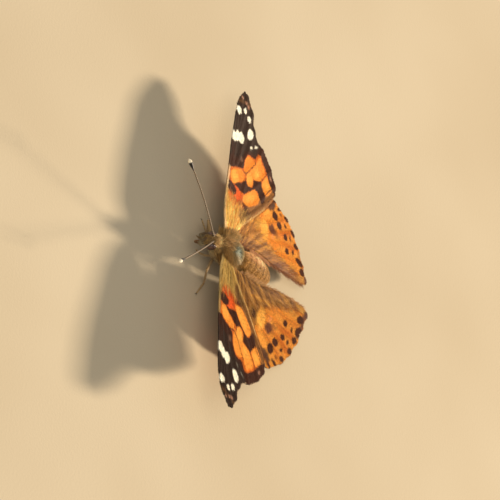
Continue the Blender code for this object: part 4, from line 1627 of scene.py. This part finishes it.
def make_shoulder_fur(label, side, seed):
    """The first locks of many that grow on the upper side of the chest, fanned out backward."""
    chance = np.random.default_rng(seed)
    row, column = scatter(skin_rings, 9 * SHOULDER_LOCKS, chance, rows_between(*SHOULDER_SPAN))
    point, normal, _ = on_rings(skin_rings, row, column)
    keep = (normal[:, 0] * side > 0.2) & (normal[:, 2] > -0.05) & (normal[:, 2] < 0.95)
    keep &= np.cumsum(keep) <= SHOULDER_LOCKS
    point, row, column = point[keep], row[keep], column[keep]
    count = len(point)
    back = 0.15 + 0.22 * (point[:, 1] + 1.5) + chance.normal(0, 0.15, count)
    lies = np.column_stack([np.full(count, side), back, chance.normal(0, 0.05, count)])
    normals = np.tile((0.0, 0.0, 1.0), (count, 1))
    root = body_colour(point[:, 1], np.zeros(count), point[:, 0])
    tips = tinted(root * 0.7 + linear(SHOULDER_TIPS_SUNLIT_RIGHT[side]) * 0.5, chance, 0.25, 0.06)
    body = locks(
        body_frame, point, normals, lies, chance.uniform(1.0, 2.5, count), 0.045, 0.4,
        root * 0.6, tips, ring_unwrap(skin_rings, row, column), chance.normal(0, 0.15, count),
    )
    make_piece(f"shoulder_fur_{label}", body, FINE_HAIR)


for label, side in SIDES.items():
    make_shoulder_fur(label, side, 411 + side)

# %% [markdown]
# A butterfly's compound eye is a dome of thousands of lenses, far too small to model one by one.
# The dome is a squashed ball and its lenses are a honeycomb bump. Real lenses are 0.02 mm wide,
# so they are drawn three times too coarse, to show. Deep brown pigment under a clear skin gives
# the eye its mauve glow.

# %% Eyes
EYE_CENTRE = np.array((1.03, -0.1, 0.0))
EYE_RADII = np.array((0.62, 0.92, 1.0))
EYE_ROWS = 36
EYE_SIDES = 44
FACETS_PER_MM = 16.0
EYE_CLOUDS_PER_MM = 1.5


def compound_eye_material():
    """Facetted cornea of clear chitin: dark mauve-brown clouds under a glossy coat."""
    finish, tree = start_material("compound_eye")
    where = add_node(tree, "ShaderNodeTexCoord").outputs["Object"]
    facets = add_node(
        tree, "ShaderNodeTexVoronoi", {"feature": "DISTANCE_TO_EDGE"},
        Vector=where, Scale=FACETS_PER_MM / MM, Randomness=0.35,
    )
    cloud = add_node(tree, "ShaderNodeTexNoise", Vector=where, Scale=EYE_CLOUDS_PER_MM / MM, Detail=2.0)
    colour = add_node(
        tree, "ShaderNodeValToRGB", stops=[(0.35, "#2A1A16"), (0.5, "#4A2E28"), (0.65, "#6B473C")],
        Fac=cloud.outputs["Fac"],
    )
    dome = add_node(tree, "ShaderNodeMapRange", Value=facets.outputs["Distance"], From_Max=0.25)
    bump = add_node(tree, "ShaderNodeBump", Strength=0.6, Distance=0.02 * MM, Height=dome.outputs["Result"])
    shader = add_node(
        tree, "ShaderNodeBsdfPrincipled", Base_Color=colour.outputs["Color"],
        Normal=bump.outputs["Normal"], Roughness=0.25, IOR=1.56, Coat_Weight=0.6, Coat_Roughness=0.1,
    )
    add_node(tree, "ShaderNodeOutputMaterial", Surface=shader.outputs["BSDF"])
    return finish


def make_eye(label, side, finish):
    """Rings of an ellipsoid about its sideways axis: the radius is the sine of the row's angle."""
    angle = np.linspace(0.04, np.pi - 0.04, EYE_ROWS)[:, None]
    around = ring_angles(EYE_SIDES)
    dome = np.stack([
        np.tile(np.cos(angle), EYE_SIDES), np.sin(angle) * np.cos(around), np.sin(angle) * np.sin(around),
    ], -1) * EYE_RADII
    centre = EYE_CENTRE * (side, 1, 1)
    poles = [centre + (EYE_RADII[0], 0, 0), centre - (EYE_RADII[0], 0, 0)]
    body = shell(place(dome + centre, head_frame), place(poles, head_frame))
    make_piece(f"compound_eye_{label}", body, finish, [f"eye_{label}"])


COMPOUND_EYE = compound_eye_material()
for label, side in SIDES.items():
    make_eye(label, side, COMPOUND_EYE)

# %% [markdown]
# The feelers are thin rods of about forty ring segments, dark with a pale band on each, and end
# in a club with a cream tip. The club is part of the same rod: only the radius swells.

# %% Antennae
ANTENNA_BASE = np.array((0.45, -0.6, 0.95))
ANTENNA_REACH = np.array((9.0, -12.2, 3.0))
ANTENNA_BOW = 0.35
ANTENNA_SEGMENTS = 42
ANTENNA_SIDES = 12
SEGMENT_ROWS = 5
SHAFT_RADIUS = 0.115
CLUB_SHARE = 0.16
CLUB_RADIUS = 0.36
CLUB_PEAK = 0.7
ANTENNA_GRAINS_PER_MM = 9.0

# The cuticle of a feeler is smoother than the skin, so it shines a little.
ANTENNA = pigmented("antenna_cuticle", 0.5, ANTENNA_GRAINS_PER_MM, 0.12, 0.01, 0.15, 0.4)


def make_antenna(label, side):
    """Rod whose radius follows a row of small bulges on the shaft and swells in the club: a
    squared sine up to its peak, then a quarter circle down to the tip."""
    rows = ANTENNA_SEGMENTS * SEGMENT_ROWS + 1
    share = np.linspace(0, 1, rows)
    reach = ANTENNA_REACH * (side, 1, 1)
    bow = ANTENNA_BOW * np.sin(np.pi * share)[:, None] * np.array((0.2 * side, 0.1, 1.0))
    path = ANTENNA_BASE * (side, 1, 1) + share[:, None] * reach + bow
    segment = (share * ANTENNA_SEGMENTS) % 1
    club = np.clip((share - (1 - CLUB_SHARE)) / CLUB_SHARE, 0, 1)
    rise = np.sin(np.clip(club / CLUB_PEAK, 0, 1) * np.pi / 2) ** 2
    fall = np.sqrt(np.clip(1 - ((club - CLUB_PEAK) / 0.31) ** 2, 0, 1))
    swell = np.where(club < CLUB_PEAK, rise, fall)
    shaft = SHAFT_RADIUS * (1.35 - 0.35 * np.clip(share / 0.06, 0, 1)) * (1 + 0.16 * np.sin(np.pi * segment))
    radii = np.where(club > 0, SHAFT_RADIUS + (CLUB_RADIUS - SHAFT_RADIUS) * swell, shaft)
    radii = radii * np.where(club > CLUB_PEAK, np.clip(swell, 0.25, 1), 1.0)
    rings = tube_rings(path, radii, ANTENNA_SIDES)
    poles = [path[0], path[-1] + unit(reach) * 0.06]
    colours = layered(even_colour("#4A3626", rows), [
        ("#AC9670", only_where(club < 0.05, 0.19 - np.abs(segment - 0.2)), 0.1, 0.85),
        ("#17110D", club - 0.12, 0.08),
        ("#FBF0D4", club - 0.74, 0.04),
    ])
    body = shell(place(rings, head_frame), place(poles, head_frame), np.repeat(colours, ANTENNA_SIDES, 0))
    make_piece(f"feeler_{label}", body, ANTENNA, [f"antenna_{label}"])


for label, side in SIDES.items():
    make_antenna(label, side)

# %% [markdown]
# Under the face two furry palps stand up like a beak. Each is a tapered stalk in the same cuticle
# as the skin, pale below and brown at the end, with its own short fur.

# %% Palps
PALP_ROUTE = [(0.6, -0.7, -1.2), (0.75, -1.15, -1.35), (0.66, -1.8, -1.0), (0.58, -2.15, -0.1),
              (0.52, -2.3, 0.72)]
PALP_ROWS = 24
PALP_SIDES = 12
PALP_LOCKS = 420


def make_palp(label, side, seed):
    """A tapered stalk with locks that all point forward and up its length."""
    chance = np.random.default_rng(seed)
    path = smooth_path(np.array(PALP_ROUTE) * (side, 1, 1), PALP_ROWS)
    share = np.linspace(0, 1, PALP_ROWS)
    stalk = tube_rings(path, 0.2 + 0.08 * np.sin(np.pi * share) - 0.12 * share**2, PALP_SIDES)
    poles = [path[0], path[-1] + (0, -0.02, 0.1)]
    colours = mixed("#B8A57C", "#5C4630", np.repeat(share >= 0.6, PALP_SIDES)[:, None])
    body = shell(place(stalk, head_frame), place(poles, head_frame), colours)
    make_piece(f"palp_skin_{label}", body, SKIN, [f"palp_{label}"])
    row, column = scatter(stalk, PALP_LOCKS, chance)
    point, normal, along = on_rings(stalk, row, column)
    tone = tinted(mixed("#CDBD94", "#6A5338", np.clip(row / (PALP_ROWS - 1), 0, 1)[:, None]), chance, 0.2)
    fur = locks(
        head_frame, point, normal, along + chance.normal(0, 0.12, along.shape),
        chance.uniform(0.22, 0.42, PALP_LOCKS), 0.028, 0.4, tone * 0.7, tone,
        ring_unwrap(stalk, row, column), chance.normal(0, 0.1, PALP_LOCKS),
    )
    make_piece(f"palp_fur_{label}", fur, FINE_HAIR)


for label, side in SIDES.items():
    make_palp(label, side, 501 + side)

# %% [markdown]
# The drinking tube lies coiled between the palps like a watch spring, and is ringed like a hose.
# A spiral is easiest as an angle and a radius that change together along it.

# %% Proboscis
COIL_CENTRE = np.array((0.0, -0.8, -2.25))
COIL_RADII = (0.72, 0.24)
COIL_STEM = [(0.0, -0.25, -0.8), (0.0, -0.3, -1.15), (0.0, -0.5, -1.42)]
COIL_TURNS = 2.6
COIL_TUBE = 0.12
COIL_RIDGES = 70
COIL_ROWS = 300
COIL_SIDES = 10
HORN_GRAINS_PER_MM = 8.0

# The bare horny wall of the tube is smoother than the skin, so it shines.
TUBE_WALL = pigmented("horny_tube_chitin", 0.32, HORN_GRAINS_PER_MM, 0.1, 0.005, 0.0, 0.5)


def make_proboscis():
    """A stem from the mouth, then a flat spiral whose radius shrinks evenly with the angle."""
    share = np.linspace(0, 1, COIL_ROWS)
    angle = np.pi / 2 + 2 * np.pi * COIL_TURNS * share
    radius = COIL_RADII[0] + (COIL_RADII[1] - COIL_RADII[0]) * share
    spiral = COIL_CENTRE + np.column_stack([0.02 * share, radius * np.cos(angle), radius * np.sin(angle)])
    path = smooth_path([*COIL_STEM, *spiral[::6]], COIL_ROWS)
    ridge = np.sin(share * 2 * np.pi * COIL_RIDGES)
    rings = tube_rings(path, COIL_TUBE * (1 - 0.45 * share) * (1 + 0.06 * ridge), COIL_SIDES)
    colours = lay(even_colour("#8E6840", COIL_ROWS), "#5C3C20", ridge - 0.4, 0.5, 0.8)
    body = shell(
        place(rings, head_frame), place([path[0], path[-1]], head_frame), np.repeat(colours, COIL_SIDES, 0),
    )
    make_piece("coiled_proboscis", body, TUBE_WALL, ["proboscis"])


make_proboscis()

# %% [markdown]
# Painted ladies walk on four legs. Each of these is one jointed tube: thigh, shin and a foot of
# five beads. The feet stand on the floor, so their places are given on it, while hip and knee
# belong to the body.

# %% Shape of the legs
FOOT_HEIGHT = 0.15
WALKING_LEGS = {
    "midleg": {"hip": (1.3, 0.6, -4.1), "knee": (4.8, -2.4, -2.9), "ankle": (4.7, 0.8), "toe": (7.2, -0.6)},
    "hindleg": {"hip": (1.3, 2.5, -3.9), "knee": (4.6, 5.4, -3.3), "ankle": (5.0, 7.6), "toe": (5.8, 10.9)},
}
LEG_RUNS = [
    {"rows": 8, "radii": (0.34, 0.3, 0.3)},
    {"rows": 22, "radii": (0.32, 0.27, 0.2)},
    {"rows": 26, "radii": (0.17, 0.19, 0.15)},
    {"rows": 40, "radii": (0.15, 0.13, 0.1)},
]
TOE_RADIUS = 0.09
FOOT_BEADS = 5
ground_point = hinge_middle * (1, 1, 0)


def leg_path(leg, side):
    """Runs from inside the chest to the toe, rounded at the joints. Returns the path, a radius at
    each point, and how far along it is: 1 at the hip, 2 at the knee, 3 at the ankle, 4 at the toe."""
    hip = np.array(leg["hip"])
    inner = hip * (0.55, 1, 1) + (0.0, 0.2, 1.4)
    upper = place(np.array([inner, hip, leg["knee"]]) * (side, 1, 1), body_frame)
    ankle, toe = (ground_point + (x * side, y, FOOT_HEIGHT) for x, y in (leg["ankle"], leg["toe"]))
    corners = np.vstack([upper, ankle + (0, 0, 0.12), toe])
    path, radii, part = [], [], []
    for number, run in enumerate(LEG_RUNS):
        share = np.arange(run["rows"]) / run["rows"]
        path.append(corners[number] + (corners[number + 1] - corners[number]) * share[:, None])
        radii.append(np.interp(share, (0, 0.5, 1), run["radii"]))
        part.append(number + share)
    path = np.vstack([*path, toe])
    radii = np.concatenate([*radii, [TOE_RADIUS]])
    part = np.concatenate([*part, [4.0]])
    bead = np.where(part >= 3, 0.9 + 0.28 * np.abs(np.sin((part - 3) * FOOT_BEADS * np.pi)), 1.0)
    for _ in range(2):
        path[1:-1] = 0.25 * path[:-2] + 0.5 * path[1:-1] + 0.25 * path[2:]
    return path, radii * bead, part


for leg, joints in WALKING_LEGS.items():
    length = run_lengths(leg_path(joints, 1)[0])[-1]
    print(f"{leg}: {length:.1f} mm long")

# %% [markdown]
# Fine scales and short hair cover the leg, and stiff spines stand along the shin and the foot.
# Both are locks: the spines stand up more and bend less.

# %% Coat of the legs
LEG_SIDES = 12
LEG_LOCKS = 620
LEG_SPINES = 34
FIRST_SPINE_ROW = 32

# Leg cuticle has a faint shine between its scales.
LEG_FINISH = pigmented("leg_cuticle", 0.5, HORN_GRAINS_PER_MM, 0.14, 0.01, 0.1, 0.4)


def make_leg(name, path, radii, part, replaced, seed, hair, spines=0):
    """The jointed tube, a close coat of short locks and rows of longer spines below the knee."""
    chance = np.random.default_rng(seed)
    rings = tube_rings(path, radii, LEG_SIDES)
    tone = mixed("#8A6E46", "#BFA070", np.interp(part, (0, 2, 3, 4), (0.0, 0.5, 0.9, 1.0))[:, None])
    poles = [path[0], path[-1] + unit(path[-1] - path[-2]) * 0.05]
    make_piece(name, shell(rings, poles, np.repeat(tone, LEG_SIDES, 0)), LEG_FINISH, replaced)
    row, column = scatter(rings, hair, chance)
    point, normal, along = on_rings(rings, row, column)
    shade = tinted(even_colour("#CDB389", hair), chance, 0.22)
    coat = [locks(
        world_frame, point, normal, along + chance.normal(0, 0.1, along.shape),
        chance.uniform(0.14, 0.26, hair), 0.022, 0.25, shade * 0.6, shade,
        ring_unwrap(rings, row, column), chance.normal(0, 0.1, hair),
    )]
    if spines:
        row = np.linspace(FIRST_SPINE_ROW, len(path) - 4, spines)
        column = (np.arange(spines) % 4) * 3.0 + 1.0
        point, normal, along = on_rings(rings, row, column)
        keep = (point[:, 2] > 0.12) & (normal[:, 2] > -0.5)
        dark = even_colour("#4A3420", keep.sum())
        coat.append(locks(
            world_frame, point[keep], normal[keep], along[keep], 0.24, 0.02, 1.0, dark, dark,
            ring_unwrap(rings, row, column)[keep], 0.0,
        ))
    make_piece(name + "_hair", join_shells(coat), FINE_HAIR)


print("locks and spines on a walking leg:", LEG_LOCKS, "and at most", LEG_SPINES)

# %% [markdown]
# Each foot ends in two claws of bare horn. The forelegs are made last: they are too short to walk
# on, have no claws, and are held under the chin as small brushes.

# %% Claws and forelegs
CLAW_REACH = 0.42
FORELEG_ROUTE = [(0.7, 0.1, -3.1), (1.15, -0.6, -3.7), (1.4, -2.4, -4.2), (1.35, -4.15, -4.0)]
FORELEG_ROWS = 40
FORELEG_LOCKS = 520

# Polished horn has a sharp shine.
CLAW = pigmented("claw_horn", 0.3, HORN_GRAINS_PER_MM, 0.08, 0.003, 0.0, 0.5)


def make_claws(name, toe, heading):
    """Two hooks at the end of a foot: quarter circles that taper to a point on the ground."""
    heading = unit(heading * (1, 1, 0))
    over = np.cross(heading, (0, 0, 1.0))
    share = np.linspace(0, 1, 10)
    quarter = share[:, None] * np.pi / 2
    shells = []
    for turn in (-1, 1):
        path = toe + CLAW_REACH * np.sin(quarter) * (heading + 0.5 * turn * over) / 1.12
        path = path - (1 - np.cos(quarter)) * np.array((0, 0, toe[2] - 0.02))
        rings = tube_rings(path, 0.06 * (1 - 0.85 * share), 7)
        shells.append(shell(rings, [path[0], path[-1]], even_colour("#3A2616", rings[..., 0].size)))
    make_piece(name, join_shells(shells), CLAW)


for label, side in SIDES.items():
    for number, (leg, joints) in enumerate(WALKING_LEGS.items()):
        path, radii, part = leg_path(joints, side)
        nodes = [f"{leg}_{segment}_{label}" for segment in ("femur", "tibia", "tarsus")]
        seed = 601 + 10 * number + side
        make_leg(f"{leg}_{label}", path, radii, part, nodes, seed, LEG_LOCKS, LEG_SPINES)
        make_claws(f"{leg}_claws_{label}", path[-1], path[-1] - path[-6])
    share = np.linspace(0, 1, FORELEG_ROWS)
    path = place(smooth_path(np.array(FORELEG_ROUTE) * (side, 1, 1), FORELEG_ROWS), body_frame)
    radii = np.interp(share, (0, 0.3, 0.8, 1), (0.24, 0.2, 0.15, 0.08))
    nodes = [f"foreleg_{label}"]
    make_leg(f"foreleg_brush_{label}", path, radii, 2 * share, nodes, 641 + side, FORELEG_LOCKS)

# %% Sizes
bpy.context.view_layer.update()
triangles = sum(
    sum(len(face.vertices) - 2 for face in piece.data.polygons)
    for piece in bpy.data.objects if piece.type == "MESH" and not piece.hide_render
)
print("triangles in view:", triangles)
